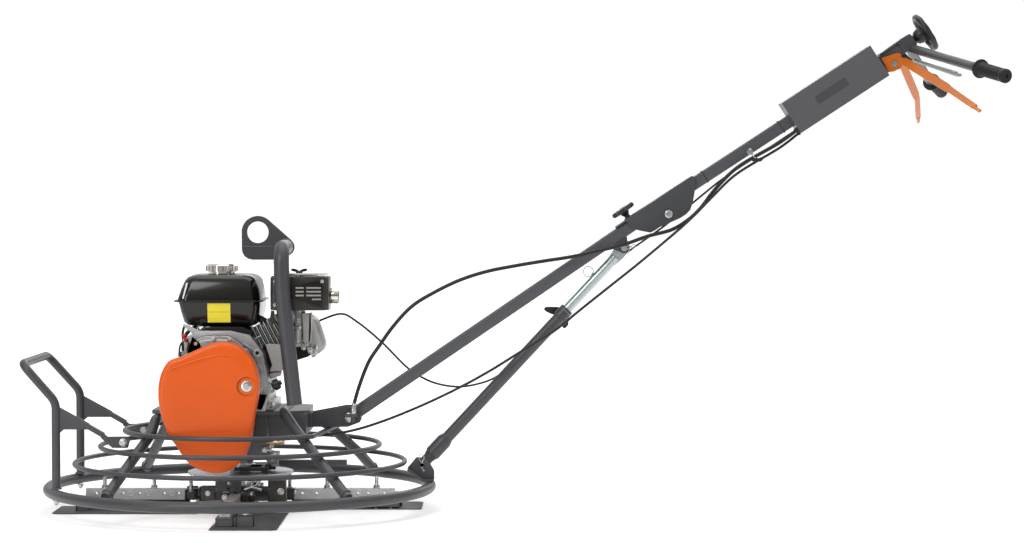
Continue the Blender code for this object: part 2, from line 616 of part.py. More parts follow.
part("fuel_tank", loft([rounded(-0.1044, 0.0339, -0.0900, 0.0700, 0.014, 0.4461),
                        rounded(-0.1259, 0.0506, -0.1060, 0.0860, 0.018, 0.4580),
                        rounded(-0.1331, 0.0554, -0.1120, 0.0920, 0.020, 0.4819),
                        rounded(-0.1390, 0.0570, -0.1150, 0.0950, 0.022, 0.5060),
                        rounded(-0.1498, 0.0650, -0.1230, 0.1010, 0.024, 0.5064),
                        rounded(-0.1498, 0.0650, -0.1230, 0.1010, 0.024, 0.5096),
                        rounded(-0.1402, 0.0560, -0.1150, 0.0950, 0.022, 0.5100),
                        rounded(-0.1235, 0.0483, -0.1030, 0.0830, 0.022, 0.5582),
                        rounded(-0.1092, 0.0339, -0.0900, 0.0700, 0.018, 0.5700)]), "black_gloss")
CAP_X, CAP_Y = -0.0430, -0.0100
part("fuel_cap", lathe([(0, 0.5706), (0.0340, 0.5706), (0.0340, 0.5760), (0.0390, 0.5770), (0.0390, 0.5900),
                        (0.0350, 0.5945), (0, 0.5945)], (CAP_X, CAP_Y, 0), (0, 0, 1), 20), "chrome",
     pivot=(CAP_X, CAP_Y, 0.5706))

part("muffler", box((0.0900, -0.1250, 0.4930), (0.2170, -0.0450, 0.5660)), "black_sheet",
     add=[cyl((0.2100, -0.0900, 0.5200), (0.2450, -0.0900, 0.5200), 0.0180, 12)],
     cut=[cyl((0.2180, -0.0900, 0.5200), (0.2600, -0.0900, 0.5200), 0.0150, 12)])
part("muffler_guard", box((0.0835, -0.1320, 0.4850), (0.2240, -0.0420, 0.5735)), "black_sheet",
     cut=[box((0.0860, -0.1295, 0.4800), (0.2215, -0.0300, 0.5710)),
          cyl((0.2100, -0.0900, 0.5200), (0.2400, -0.0900, 0.5200), 0.0200, 12),
          box((0.1450, -0.1400, 0.5400), (0.2050, -0.1250, 0.5440)),
          box((0.1450, -0.1400, 0.5290), (0.2050, -0.1250, 0.5330)),
          box((0.1450, -0.1400, 0.5180), (0.2050, -0.1250, 0.5220))], smooth=False)
part("air_cleaner", loft([rounded(0.0850, 0.1930, 0.0020, 0.1040, 0.012, 0.4960),
                          rounded(0.0830, 0.1960, 0.0000, 0.1060, 0.016, 0.5400),
                          rounded(0.0900, 0.1900, 0.0060, 0.1000, 0.018, 0.5700)]), "black_plastic",
     add=[cyl((0.1380, 0.0500, 0.5650), (0.1380, 0.0500, 0.5760), 0.0070, 8),
          box((0.1200, 0.0470, 0.5720), (0.1560, 0.0530, 0.5820))])
part("carburettor", box((0.1000, 0.0620, 0.4250), (0.1650, 0.1000, 0.4600)), "cast_alloy",
     add=[cyl((0.1320, 0.0810, 0.4100), (0.1320, 0.0810, 0.4300), 0.0170, 10),
          cyl((0.1320, 0.0810, 0.4500), (0.1320, 0.0810, 0.4950), 0.0180, 10)])

part("crankshaft", cyl((CRANK_X, -0.2140, CRANK_Z), (CRANK_X, 0.1420, CRANK_Z), 0.0095, 12), "machined_steel",
     pivot=(CRANK_X, 0, CRANK_Z),
     add=[cyl((CRANK_X, -0.1350, CRANK_Z), (CRANK_X, 0.1200, CRANK_Z), 0.0125, 12),
          cyl((CRANK_X, 0.1150, CRANK_Z), (CRANK_X, 0.1370, CRANK_Z), 0.0820, 20)])
pull = (-math.sqrt(0.5), 0, math.sqrt(0.5))
GRIP = (CRANK_X + 0.1180 * pull[0], 0.1600, CRANK_Z + 0.1180 * pull[2])
part("recoil_housing",
     lathe([(0, 0.1720), (0.0700, 0.1720), (0.0980, 0.1620), (0.1040, 0.1480), (0.1040, 0.1055), (0.0920, 0.1055),
            (0.0920, 0.1480), (0, 0.1480)], (CRANK_X, 0, CRANK_Z), (0, 1, 0), 24), "black_plastic",
     cut=[cyl((CRANK_X + 0.020 * pull[0], 0.1600, CRANK_Z + 0.020 * pull[2]),
              (CRANK_X + 0.130 * pull[0], 0.1600, CRANK_Z + 0.130 * pull[2]), 0.0034, 8)])
part("recoil_grip",
     box((GRIP[0] - 0.006, 0.1350, GRIP[2] - 0.006), (GRIP[0] + 0.006, 0.1850, GRIP[2] + 0.006)), "black_plastic",
     pivot=GRIP,
     add=[cyl(GRIP, (GRIP[0] - 0.080 * pull[0], 0.1600, GRIP[2] - 0.080 * pull[2]), 0.0020, 6)])
part("dipstick", cyl(neck(0.0420), neck(0.0660), 0.0125, 10), "black_plastic", pivot=neck(0.0420),
     add=[cyl(neck(-0.0200), neck(0.0440), 0.0030, 6)])

# ================================================================ lifting point
bail_path = fillet([(0.1440, -0.1560, 0.2640), (0.1160, -0.1560, 0.5200), (0.1120, -0.1560, 0.6350), (0.1120, -0.0080, 0.6350)],
                   [0.15, 0.045], 5)
part("lifting_bail", tube(bail_path, 0.0185, 10), "grey_paint")
eye = [(0.0046, 0.6362), (0.0046, 0.6714)]
for k in range(8):
    a = math.pi - (math.pi - math.radians(48)) * k / 7
    eye.append((0.0438 + 0.0395 * math.cos(a), 0.6709 + 0.0395 * math.sin(a)))
eye = eye[:1] + eye[2:]
eye += [(0.1215, 0.6545), (0.1290, 0.6450), (0.1303, 0.6350), (0.1211, 0.6147), (0.0969, 0.6040), (0.0266, 0.6040),
        (0.0110, 0.6110), (0.0046, 0.6253)]
part("lifting_eye", prism(eye[::-1], "XZ", -0.0072, 0.0008), "grey_paint",
     cut=[cyl((0.0438, -0.03, 0.6709), (0.0438, 0.03, 0.6709), 0.0260, 20)])

# ================================================================ handle
PX, PZ = HANDLE_PIVOT
bracket_side = [(0.1700, 0.2005), (0.2620, 0.2005), (0.2920, 0.2120), (0.2940, 0.2300), (0.2740, 0.2500),
                (0.2560, 0.2500), (0.1700, 0.2340)]
part("handle_bracket", box((0.1690, -0.0340, 0.2005), (0.1750, 0.0340, 0.2340)), "grey_paint",
     add=[box((0.1700, -0.0270, 0.2005), (0.2350, 0.0270, 0.2050)),
          prism(bracket_side, "XZ", -0.0280, -0.0230), prism(bracket_side, "XZ", 0.0230, 0.0280),
          cyl((PX, -0.0340, PZ), (PX, 0.0340, PZ), 0.0080, 10)], smooth=False)

fold_s = (FOLD_PIN[0] - PX) * math.cos(HANDLE_TILT) + (FOLD_PIN[1] - PZ) * math.sin(HANDLE_TILT)
fold_n = -(FOLD_PIN[0] - PX) * math.sin(HANDLE_TILT) + (FOLD_PIN[1] - PZ) * math.cos(HANDLE_TILT)
top_s = (STRUT_TOP[0] - PX) * math.cos(HANDLE_TILT) + (STRUT_TOP[1] - PZ) * math.sin(HANDLE_TILT)
top_n = -(STRUT_TOP[0] - PX) * math.sin(HANDLE_TILT) + (STRUT_TOP[1] - PZ) * math.cos(HANDLE_TILT)


def rect_tube(origin, tilt, s0, s1, n_half, y_half, wall):
    v, f = [], []
    for hn, hy in ((n_half, y_half), (n_half - wall, y_half - wall)):
        for s in (s0, s1):
            for a, b in ((-1, -1), (1, -1), (1, 1), (-1, 1)):
                v.append(along(origin, tilt, s, a * hn, b * hy))
    for k in range(4):
        m = (k + 1) % 4
        f += [(k, m, 4 + m, 4 + k), (8 + k, 12 + k, 12 + m, 8 + m), (k, 8 + k, 8 + m, m), (4 + k, 4 + m, 12 + m, 12 + k)]
    return v, f


def arc_points(cs, cn, r, a0, a1, steps):
    return [(cs + r * math.cos(a0 + (a1 - a0) * k / steps), cn + r * math.sin(a0 + (a1 - a0) * k / steps))
            for k in range(steps + 1)]


lug_fold = [(fold_s - 0.060, -TUBE_N + 0.001)] + arc_points(fold_s, fold_n, 0.0130, math.radians(215), math.radians(385), 5) + \
    [(fold_s - 0.004, -TUBE_N + 0.001)]
lug_strut = [(top_s - 0.030, -TUBE_N + 0.001)] + arc_points(top_s, top_n, 0.0120, math.radians(190), math.radians(350), 4) + \
    [(top_s + 0.022, -TUBE_N + 0.001)]
part("lower_handle", rect_tube(HANDLE_PIVOT, HANDLE_TILT, -0.0200, fold_s - 0.0080, TUBE_N, TUBE_Y, WALL), "grey_paint",
     pivot=(PX, 0, PZ),
     add=[slab(HANDLE_PIVOT, HANDLE_TILT, lug_fold, -0.0180, 0.0180),
          cyl((FOLD_PIN[0], -0.0330, FOLD_PIN[1]), (FOLD_PIN[0], 0.0330, FOLD_PIN[1]), 0.0060, 8),
          slab(HANDLE_PIVOT, HANDLE_TILT, lug_strut, -0.0180, -0.0130),
          slab(HANDLE_PIVOT, HANDLE_TILT, lug_strut, 0.0130, 0.0180),
          cyl((STRUT_TOP[0], -0.0230, STRUT_TOP[1]), (STRUT_TOP[0], 0.0230, STRUT_TOP[1]), 0.0050, 8)],
     cut=[cyl((PX, -0.03, PZ), (PX, 0.03, PZ), 0.0086, 10)], smooth=False)

THROTTLE_X, THROTTLE_Z = 1.6215, 1.0860                # throttle lever's pin
LEVER_S, LEVER_N = 0.6350, -0.0219                     # operator lever's pin, along and across the upper tube


def on_upper(s, n, y):
    return along(UPPER_START, UPPER_TILT, s, n, y)


bar_mid = along(UPPER_START, UPPER_TILT, 0.6885, -0.0085)
bar_end = (1.7186, 0.3350, 1.0550)
grip_end = (1.7690, 0.4500, 1.0290)


def mirror_y(p):
    return (p[0], -p[1], p[2])


bar_path = fillet([mirror_y(grip_end), mirror_y(bar_end), (bar_mid[0], 0, bar_mid[2]), bar_end, grip_end], [0.10, 0.08, 0.10], 4)

# The cheeks of the upper tube lap over the lower tube's end and turn on the fold pin.
cheek = [(0.9306, 0.7008), (1.0954, 0.8075), (1.1014, 0.7834), (1.0995, 0.7673), (1.0954, 0.7434), (1.0893, 0.7253),
         (1.0655, 0.7055), (1.0152, 0.6833), (0.9933, 0.6702), (0.9663, 0.6752), (0.9554, 0.6782)][::-1]
web_s = (fold_s - 0.1240, fold_s + 0.0300)
part("upper_handle", rect_tube(UPPER_START, UPPER_TILT, -0.0060, 0.6750, TUBE_N, TUBE_Y, WALL), "grey_paint",
     pivot=(FOLD_PIN[0], 0, FOLD_PIN[1]),
     add=[prism(cheek, "XZ", -CHEEK_Y1, -CHEEK_Y0), prism(cheek, "XZ", CHEEK_Y0, CHEEK_Y1),
          slab(HANDLE_PIVOT, HANDLE_TILT, [(web_s[0], 0.0156), (web_s[1], 0.0156), (web_s[1], 0.0196), (web_s[0], 0.0196)],
               -0.0265, 0.0265),
          slab(UPPER_START, UPPER_TILT, [(0.0060, -0.0120), (0.0560, -0.0120), (0.0560, 0.0120), (0.0060, 0.0120)], -0.0240, 0.0240),
          slab(UPPER_START, UPPER_TILT, [(0.6180, 0.0140), (0.6180, 0.0180), (0.7040, 0.0200), (0.7065, 0.0150), (0.7065, -0.0134),
                                         (0.6700, -0.0134), (0.6700, 0.0140)][::-1], -0.0270, 0.0270),
          slab(UPPER_START, UPPER_TILT, [(LEVER_S - 0.010, -0.0140), (LEVER_S + 0.010, -0.0140), (LEVER_S + 0.007, LEVER_N - 0.007),
                                         (LEVER_S - 0.007, LEVER_N - 0.007)], -0.0180, 0.0180),
          cyl(on_upper(LEVER_S, LEVER_N, -0.0330), on_upper(LEVER_S, LEVER_N, 0.0330), 0.0050, 8),
          slab(UPPER_START, UPPER_TILT, [(0.6550, -0.0140), (0.6680, -0.0430), (0.6800, -0.0430), (0.6730, -0.0120), (0.6560, -0.0120)], -0.0060, 0.0060)],
     cut=[cyl((THROTTLE_X, -0.02, THROTTLE_Z), (THROTTLE_X, 0.02, THROTTLE_Z), 0.0042, 8),
          cyl((FOLD_PIN[0], -0.04, FOLD_PIN[1]), (FOLD_PIN[0], 0.04, FOLD_PIN[1]), 0.0066, 8),
          tube(bar_path, 0.0115, 8)], smooth=False)

KNOB_S, KNOB_N = fold_s - 0.0850, 0.0200
knob_at = along(HANDLE_PIVOT, HANDLE_TILT, KNOB_S, KNOB_N)
knob_axis = (-math.sin(HANDLE_TILT), 0, math.cos(HANDLE_TILT))
star = [(0.0300 if k % 2 == 0 else 0.0240, k) for k in range(12)]


def along_axis(base, axis, h):
    return tuple(b + a * h for b, a in zip(base, axis))


def star_disc(base, axis, h0, h1, r_out, r_in, n):
    axis = unit(axis)
    s = unit(np.cross(axis, (0, 1, 0)))
    u = np.cross(axis, s)
    v, f = [], []
    for h in (h0, h1):
        for k in range(2 * n):
            r = r_out if k % 2 == 0 else r_in
            a = math.pi * k / n
            v.append(tuple(np.asarray(base) + h * axis + r * (math.cos(a) * s + math.sin(a) * u)))
    m = 2 * n
    f = [tuple(range(m - 1, -1, -1)), tuple(range(m, 2 * m))] + [(i, (i + 1) % m, m + (i + 1) % m, m + i) for i in range(m)]
    return v, f


part("fold_knob", cyl(knob_at, along_axis(knob_at, knob_axis, 0.0200), 0.0090, 10), "black_plastic", pivot=knob_at,
     add=[star_disc(knob_at, knob_axis, 0.0160, 0.0280, 0.0300, 0.0235, 6)])

# Strut between the guard ring and the lower tube.
SX, SZ = STRUT_FOOT
strut_tilt = math.atan2(STRUT_TOP[1] - SZ, STRUT_TOP[0] - SX)
strut_len = math.hypot(STRUT_TOP[0] - SX, STRUT_TOP[1] - SZ)


def st(s, n=0.0, y=0.0):
    return along(STRUT_FOOT, strut_tilt, s, n, y)


part("strut_bracket", prism([(0.4060, 0.0990), (0.4260, 0.1230), (0.4520, 0.1220), (0.4700, 0.0900), (0.4700, 0.0686), (0.4420, 0.0686)][::-1],
                            "XZ", -0.0165, -0.0120), "grey_paint",
     add=[prism([(0.4060, 0.0990), (0.4260, 0.1230), (0.4520, 0.1220), (0.4700, 0.0900), (0.4700, 0.0686), (0.4420, 0.0686)][::-1],
                "XZ", 0.0120, 0.0165),
          prism([(0.4060, 0.1000), (0.4120, 0.0980), (0.4440, 0.0740), (0.4700, 0.0740), (0.4700, 0.0684), (0.4420, 0.0684), (0.4060, 0.0940)][::-1],
                "XZ", -0.0300, 0.0300),
          cyl((SX, -0.0230, SZ), (SX, 0.0230, SZ), 0.0050, 8)], smooth=False)
part("strut_outer", tube([st(0.0300), st(0.5150)], 0.0145, 12), "grey_paint", pivot=(SX, 0, SZ),
     add=[tube([st(0.0240), st(0.0320), st(0.0780), st(0.0900)], [0.0150, 0.0190, 0.0190, 0.0150], 10),
          tube([st(0.4880), st(0.5170)], 0.0170, 12),
          slab(STRUT_FOOT, strut_tilt, [(0.0320, 0.0130)] + arc_points(0, 0, 0.0130, math.radians(90), math.radians(270), 4) + [(0.0320, -0.0130)],
               -0.0100, 0.0100)],
     cut=[tube([st(0.1000), st(0.5400)], 0.0127, 12), cyl((SX, -0.02, SZ), (SX, 0.02, SZ), 0.0056, 8)])
part("strut_inner", tube([st(0.1600), st(strut_len - 0.0300)], 0.0121, 12, bore=0.0100), "zinc", pivot=(SX, 0, SZ),
     add=[slab(STRUT_FOOT, strut_tilt, [(strut_len - 0.0550, -0.0105), (strut_len - 0.0550, 0.0105)] +
               [(strut_len - 0.0220, 0.0150)] + arc_points(strut_len, 0, 0.0150, math.radians(75), math.radians(-75), 5) +
               [(strut_len - 0.0220, -0.0150)], -0.0060, 0.0060)],
     cut=[cyl((STRUT_TOP[0], -0.02, STRUT_TOP[1]), (STRUT_TOP[0], 0.02, STRUT_TOP[1]), 0.0095, 12)])
wing_at = st(0.5025, 0.0, 0.0176)
wings = [(0.7395, 0.4800), (0.7410, 0.4880), (0.7660, 0.4860), (0.7900, 0.4820), (0.7975, 0.4700), (0.7960, 0.4420), (0.7860, 0.4350),
         (0.7800, 0.4450), (0.7760, 0.4620), (0.7640, 0.4700)]
part("strut_knob", cyl(wing_at, (wing_at[0], 0.0320, wing_at[2]), 0.0070, 8), "black_plastic", pivot=wing_at,
     add=[prism(wings[::-1], "XZ", 0.0280, 0.0400)])

part("control_box",
     slab(UPPER_START, UPPER_TILT, [(0.3540, -0.0380), (0.6075, -0.0380), (0.6075, 0.0475), (0.3540, 0.0475)], -0.0450, 0.0450),
     "grey_paint",
     cut=[slab(UPPER_START, UPPER_TILT, [(0.34, -0.0155), (0.63, -0.0155), (0.63, 0.0155), (0.34, 0.0155)], -0.0205, 0.0205)],
     smooth=False)

part("handlebar", tube(bar_path, 0.0110, 8), "grey_paint")
for name, flip in (("grip_near", mirror_y), ("grip_far", lambda p: p)):
    e = np.asarray(grip_end) - np.asarray(bar_end)
    length = float(np.linalg.norm(e))
    d = unit(e)
    a = np.asarray(bar_end)
    pts = [flip(tuple(a + d * h)) for h in (0.0, 0.008, 0.008, 0.020, 0.030, length + 0.0006, length + 0.006)]
    grip = lathe([(0.0116, 0.024), (0.0225, 0.024), (0.0225, 0.032), (0.0160, 0.038), (0.0150, length - 0.004), (0.0165, length),
                  (0.0165, length + 0.006), (0, length + 0.006), (0, length + 0.0010), (0.0116, length + 0.0010)],
                 flip(tuple(a)), flip(tuple(d)), 12, closed=False)
    v, f = grip
    n_ring = 12
    f.append(tuple(range(0, 0)))
    f = [q for q in f if q]
    # joins the inner end of the bore back to the flange
    first = list(range(0, n_ring))
    last = list(range(len(v) - n_ring, len(v)))
    f += [(last[k], last[(k + 1) % n_ring], first[(k + 1) % n_ring], first[k]) for k in range(n_ring)]
    part(name, (v, f), "rubber")

# Pitch hand wheel on the handle's axis.
u_axis = (math.cos(UPPER_TILT), 0, math.sin(UPPER_TILT))


def ring_path(base, axis, r, n):
    axis = unit(axis)
    s = unit(np.cross(axis, (0, 1, 0)))
    u = np.cross(axis, s)
    return [tuple(np.asarray(base) + r * (math.cos(2 * math.pi * k / n) * s + math.sin(2 * math.pi * k / n) * u)) for k in range(n)]


wheel_at = along(UPPER_START, UPPER_TILT, 0.7420, 0.0)
spoke_ends = ring_path(wheel_at, u_axis, 0.0440, 3)
part("hand_wheel", tube(ring_path(wheel_at, u_axis, 0.0440, 20), 0.0070, 6, closed=True), "black_plastic",
     pivot=along(UPPER_START, UPPER_TILT, 0.7075, 0.0),
     add=[cyl(along(UPPER_START, UPPER_TILT, 0.7075, 0.0), along(UPPER_START, UPPER_TILT, 0.7500, 0.0), 0.0120, 10)] +
         [cyl(along(UPPER_START, UPPER_TILT, 0.7400, 0.0), p, 0.0050, 6) for p in spoke_ends])

# Operator lever: both arms and their brackets are one pressing, hung on a pin through the tube.
lever_at = on_upper(LEVER_S, LEVER_N, 0.0)
arms = []
for side in (-1, 1):
    arms.append(flat_bar([(1.5880, side * 0.0262, 1.0830), (1.6070, side * 0.0300, 1.0800), (1.6750, side * 0.2500, 1.0080),
                          (1.7124, side * 0.4600, 0.9501)], 0.020, 0.005, (0, 0, 1), widths=[0.022, 0.022, 0.021, 0.014]))
lever_side = [(0.6130, -0.0310), (0.6420, -0.0400), (0.6600, -0.0130), (0.6560, -0.0030), (0.6160, 0.0060)]
part("operator_lever", slab(UPPER_START, UPPER_TILT, lever_side, -0.0275, -0.0240), "orange_paint", pivot=lever_at,
     add=[slab(UPPER_START, UPPER_TILT, lever_side, 0.0240, 0.0275),
          slab(UPPER_START, UPPER_TILT, [(0.6240, -0.0370), (0.6420, -0.0390), (0.6420, -0.0350), (0.6240, -0.0330)], -0.0260, 0.0260)] + arms,
     cut=[cyl(on_upper(LEVER_S, LEVER_N, -0.04), on_upper(LEVER_S, LEVER_N, 0.04), 0.0056, 8)], smooth=False)

# Throttle lever: a hairpin of rod through a lug under the head.
loop = fillet([(THROTTLE_X, 0.0120, THROTTLE_Z), (THROTTLE_X, -0.0420, THROTTLE_Z), (1.7280, -0.0420, 1.0490),
               (1.7390, -0.0280, 1.0490), (1.7390, 0.0000, 1.0550), (1.7280, 0.0120, 1.0590),
               (THROTTLE_X + 0.0120, 0.0120, THROTTLE_Z + 0.0010)], [0.006, 0.014, 0.014, 0.014, 0.014], 2)
part("throttle_lever", tube(loop, 0.0035, 6), "zinc", pivot=(THROTTLE_X, -0.0150, THROTTLE_Z))

# Cables, held at both ends.
cable("pitch_cable", [(0.2761, -0.0400, 0.2380), (0.2790, -0.0400, 0.2600), (0.2915, -0.0400, 0.3030), (0.3145, -0.0400, 0.3605),
                      (0.3405, -0.0400, 0.3995), (0.3730, -0.0400, 0.4450), (0.4180, -0.0400, 0.4930), (0.4700, -0.0400, 0.5255),
                      (0.5345, -0.0400, 0.5565), (0.5990, -0.0400, 0.5770), (0.6640, -0.0400, 0.5900), (0.7290, -0.0400, 0.6010),
                      (0.8060, -0.0400, 0.6130), (0.8640, -0.0400, 0.6260), (0.9290, -0.0400, 0.6420), (0.9870, -0.0400, 0.6620),
                      (1.0450, -0.0400, 0.6780), (1.0840, -0.0400, 0.7020), (1.1100, -0.0400, 0.7260), (1.1490, -0.0400, 0.7760),
                      (1.2000, -0.0380, 0.8260), on_upper(0.3000, -0.0290, -0.0340), on_upper(0.3522, -0.0270, -0.0330)],
      0.0045, "rubber", 0.024)
cable("stop_cable", [(0.1780, -0.0450, 0.1800), (0.2150, -0.0440, 0.1830), (0.2755, -0.0430, 0.1935), (0.3405, -0.0400, 0.2130), (0.4250, -0.0350, 0.2460),
                     (0.5220, -0.0320, 0.2910), (0.5995, -0.0320, 0.3330), (0.6835, -0.0320, 0.3850), (0.7610, -0.0320, 0.4330),
                     (0.8250, -0.0330, 0.4850), (0.8900, -0.0350, 0.5370), (0.9550, -0.0420, 0.5890), (1.0195, -0.0480, 0.6430),
                     (1.0715, -0.0510, 0.6880), (1.1000, -0.0520, 0.7150), (1.1400, -0.0500, 0.7560), (1.1950, -0.0400, 0.8080),
                     on_upper(0.3000, -0.0400, -0.0230), on_upper(0.3525, -0.0360, -0.0190)],
      0.0028, "rubber", 0.024)
cable("throttle_cable", [(0.1660, 0.0850, 0.4420), (0.1950, 0.0840, 0.4560), (0.2450, 0.0600, 0.4700), (0.2800, 0.0450, 0.4520), (0.3370, 0.0380, 0.4060),
                         (0.4060, 0.0360, 0.3380), (0.4360, 0.0360, 0.3180), (0.4720, 0.0380, 0.3020), (0.5240, 0.0420, 0.2930),
                         (0.5700, 0.0480, 0.2980), (0.6200, 0.0540, 0.3160), (0.6800, 0.0600, 0.3680), (0.7600, 0.0620, 0.4500),
                         (0.8500, 0.0600, 0.5450), (0.9400, 0.0540, 0.6200), (1.0300, 0.0480, 0.6850), (1.1000, 0.0430, 0.7420),
                         (1.1700, 0.0300, 0.7990), on_upper(0.2500, -0.0280, 0.0150), on_upper(0.3525, -0.0270, 0.0120)],
      0.0025, "rubber", 0.024)
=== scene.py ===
import math

import bmesh
import bpy
import numpy as np
from mathutils import Matrix, Vector


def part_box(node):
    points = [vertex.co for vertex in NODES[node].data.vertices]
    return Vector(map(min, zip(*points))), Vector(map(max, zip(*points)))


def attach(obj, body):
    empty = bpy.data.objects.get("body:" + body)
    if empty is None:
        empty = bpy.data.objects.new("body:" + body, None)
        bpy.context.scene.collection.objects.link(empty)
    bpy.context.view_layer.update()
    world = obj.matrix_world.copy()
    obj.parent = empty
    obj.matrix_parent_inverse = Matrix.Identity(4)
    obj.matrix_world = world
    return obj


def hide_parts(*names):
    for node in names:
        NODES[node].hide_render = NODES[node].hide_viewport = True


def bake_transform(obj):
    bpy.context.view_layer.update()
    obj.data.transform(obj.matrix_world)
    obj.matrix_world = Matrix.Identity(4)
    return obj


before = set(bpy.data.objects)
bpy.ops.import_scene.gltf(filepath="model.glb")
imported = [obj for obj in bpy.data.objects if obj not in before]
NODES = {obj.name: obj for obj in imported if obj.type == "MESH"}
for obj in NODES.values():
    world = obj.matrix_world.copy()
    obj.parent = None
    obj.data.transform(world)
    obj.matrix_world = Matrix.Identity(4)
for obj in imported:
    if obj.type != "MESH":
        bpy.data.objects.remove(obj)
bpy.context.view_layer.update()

_lo, _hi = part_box("outer_ring")
RX = (_lo.x + _hi.x) / 2          # rotor axis in the row frame

# ------------------------------------------------------------------ materials


def new_material(name):
    m = bpy.data.materials.new(name)
    m.use_nodes = True
    t = m.node_tree
    b = t.nodes["Principled BSDF"]
    return m, t, b


def ramp(tree, source, a, b, lo=0.3, hi=0.7):
    r = tree.nodes.new("ShaderNodeMapRange")
    r.inputs["From Min"].default_value = lo
    r.inputs["From Max"].default_value = hi
    r.inputs["To Min"].default_value = a
    r.inputs["To Max"].default_value = b
    tree.links.new(source, r.inputs["Value"])
    return r.outputs["Result"]


def mixed(tree, factor, a, b):
    m = tree.nodes.new("ShaderNodeMix")
    m.data_type = "RGBA"
    for key, value in (("A", a), ("B", b)):
        sock = [s for s in m.inputs if s.name == key and s.type == "RGBA"][0]
        if isinstance(value, (tuple, list)):
            sock.default_value = (*value, 1.0)
        else:
            tree.links.new(value, sock)
    fsock = [s for s in m.inputs if s.name == "Factor" and s.type == "VALUE"][0]
    tree.links.new(factor, fsock)
    return [s for s in m.outputs if s.type == "RGBA"][0]


def noise_of(tree, coord, scale, detail=4.0, rough=0.55, distort=0.0, stretch=None):
    if stretch:
        mp = tree.nodes.new("ShaderNodeMapping")
        mp.inputs["Scale"].default_value = stretch
        tree.links.new(coord, mp.inputs["Vector"])
        coord = mp.outputs["Vector"]
    n = tree.nodes.new("ShaderNodeTexNoise")
    n.inputs["Scale"].default_value = scale
    n.inputs["Detail"].default_value = detail
    n.inputs["Roughness"].default_value = rough
    n.inputs["Distortion"].default_value = distort
    tree.links.new(coord, n.inputs["Vector"])
    return n.outputs["Fac"]


def surface(name, base, rough, metal=0.0, vary=0.10, scale=14.0, rvary=0.10, bump=0.12, bump_scale=420.0, bump_dist=0.0004,
            stretch=None, coat=0.0, coat_rough=0.1, dust=None, dust_amount=0.25, dust_low=None, spec=0.5, wear=None, wear_amount=0.5,
            speck=None, speck_scale=900.0, speck_amount=0.3, aniso=0.0):
    """A procedural surface: colour that drifts, roughness that drifts, fine grain as bump, dust in patches, worn edges, specks."""
    m, t, b = new_material(name)
    tc = t.nodes.new("ShaderNodeTexCoord")
    coord = tc.outputs["Object"]
    big = noise_of(t, coord, scale, 5.0, 0.6, 0.3)
    fine = noise_of(t, coord, bump_scale, 3.0, 0.6, 0.0, stretch)
    dark = tuple(c * (1 - vary) for c in base)
    light = tuple(min(1.0, c * (1 + vary)) for c in base)
    colour = mixed(t, ramp(t, big, 0.0, 1.0), dark, light)
    colour = mixed(t, ramp(t, fine, 0.0, 0.35, 0.35, 0.75), colour, tuple(min(1.0, c * 1.18 + 0.004) for c in base))
    if speck:
        sp = noise_of(t, coord, speck_scale, 2.0, 0.5)
        colour = mixed(t, ramp(t, sp, 0.0, speck_amount, 0.58, 0.70), colour, speck)
    if dust:
        patch = noise_of(t, coord, 9.0, 8.0, 0.68, 0.6)
        amount = ramp(t, patch, 0.0, dust_amount, 0.45, 0.75)
        if dust_low is not None:
            sep = t.nodes.new("ShaderNodeSeparateXYZ")
            t.links.new(coord, sep.inputs["Vector"])
            low = ramp(t, sep.outputs["Z"], 1.0, 0.0, 0.0, dust_low)
            mul = t.nodes.new("ShaderNodeMath")
            mul.operation = "MULTIPLY"
            t.links.new(amount, mul.inputs[0])
            t.links.new(low, mul.inputs[1])
            amount = mul.outputs["Value"]
        colour = mixed(t, amount, colour, dust)
    if wear:
        geo = t.nodes.new("ShaderNodeNewGeometry")
        edge = ramp(t, geo.outputs["Pointiness"], 0.0, wear_amount, 0.53, 0.60)
        colour = mixed(t, edge, colour, wear)
    t.links.new(colour, b.inputs["Base Color"])
    t.links.new(ramp(t, big, max(0.02, rough - rvary), min(1.0, rough + rvary), 0.25, 0.75), b.inputs["Roughness"])
    b.inputs["Metallic"].default_value = metal
    b.inputs["Specular IOR Level"].default_value = spec
    b.inputs["Coat Weight"].default_value = coat
    b.inputs["Coat Roughness"].default_value = coat_rough
    b.inputs["Anisotropic"].default_value = aniso
    bp = t.nodes.new("ShaderNodeBump")
    bp.inputs["Strength"].default_value = bump
    bp.inputs["Distance"].default_value = bump_dist
    t.links.new(fine, bp.inputs["Height"])
    t.links.new(bp.outputs["Normal"], b.inputs["Normal"])
    return m


GREY = surface("grey_powder_coat", (0.045, 0.046, 0.051), 0.38, 0.0, 0.08, 6.0, 0.05, 0.10, 700.0, 0.0003, spec=0.42,
               wear=(0.12, 0.125, 0.135), wear_amount=0.35, dust=(0.16, 0.16, 0.15), dust_amount=0.12, dust_low=0.35)
GREY_BOX = surface("grey_sheet_coat", (0.050, 0.051, 0.058), 0.44, 0.0, 0.05, 5.0, 0.05, 0.12, 620.0, 0.0003, spec=0.40,
                   wear=(0.17, 0.17, 0.18), wear_amount=0.30)
ORANGE = surface("orange_enamel", (0.660, 0.088, 0.0020), 0.34, 0.0, 0.05, 7.0, 0.05, 0.05, 500.0, 0.0003, coat=0.12, coat_rough=0.16, spec=0.30,
                 wear=(0.80, 0.20, 0.03), wear_amount=0.35)
ORANGE_LEVER = surface("orange_lever_coat", (0.520, 0.125, 0.004), 0.42, 0.0, 0.07, 9.0, 0.05, 0.08, 520.0, 0.0003, coat=0.10, spec=0.3,
                       wear=(0.70, 0.24, 0.06), wear_amount=0.12)
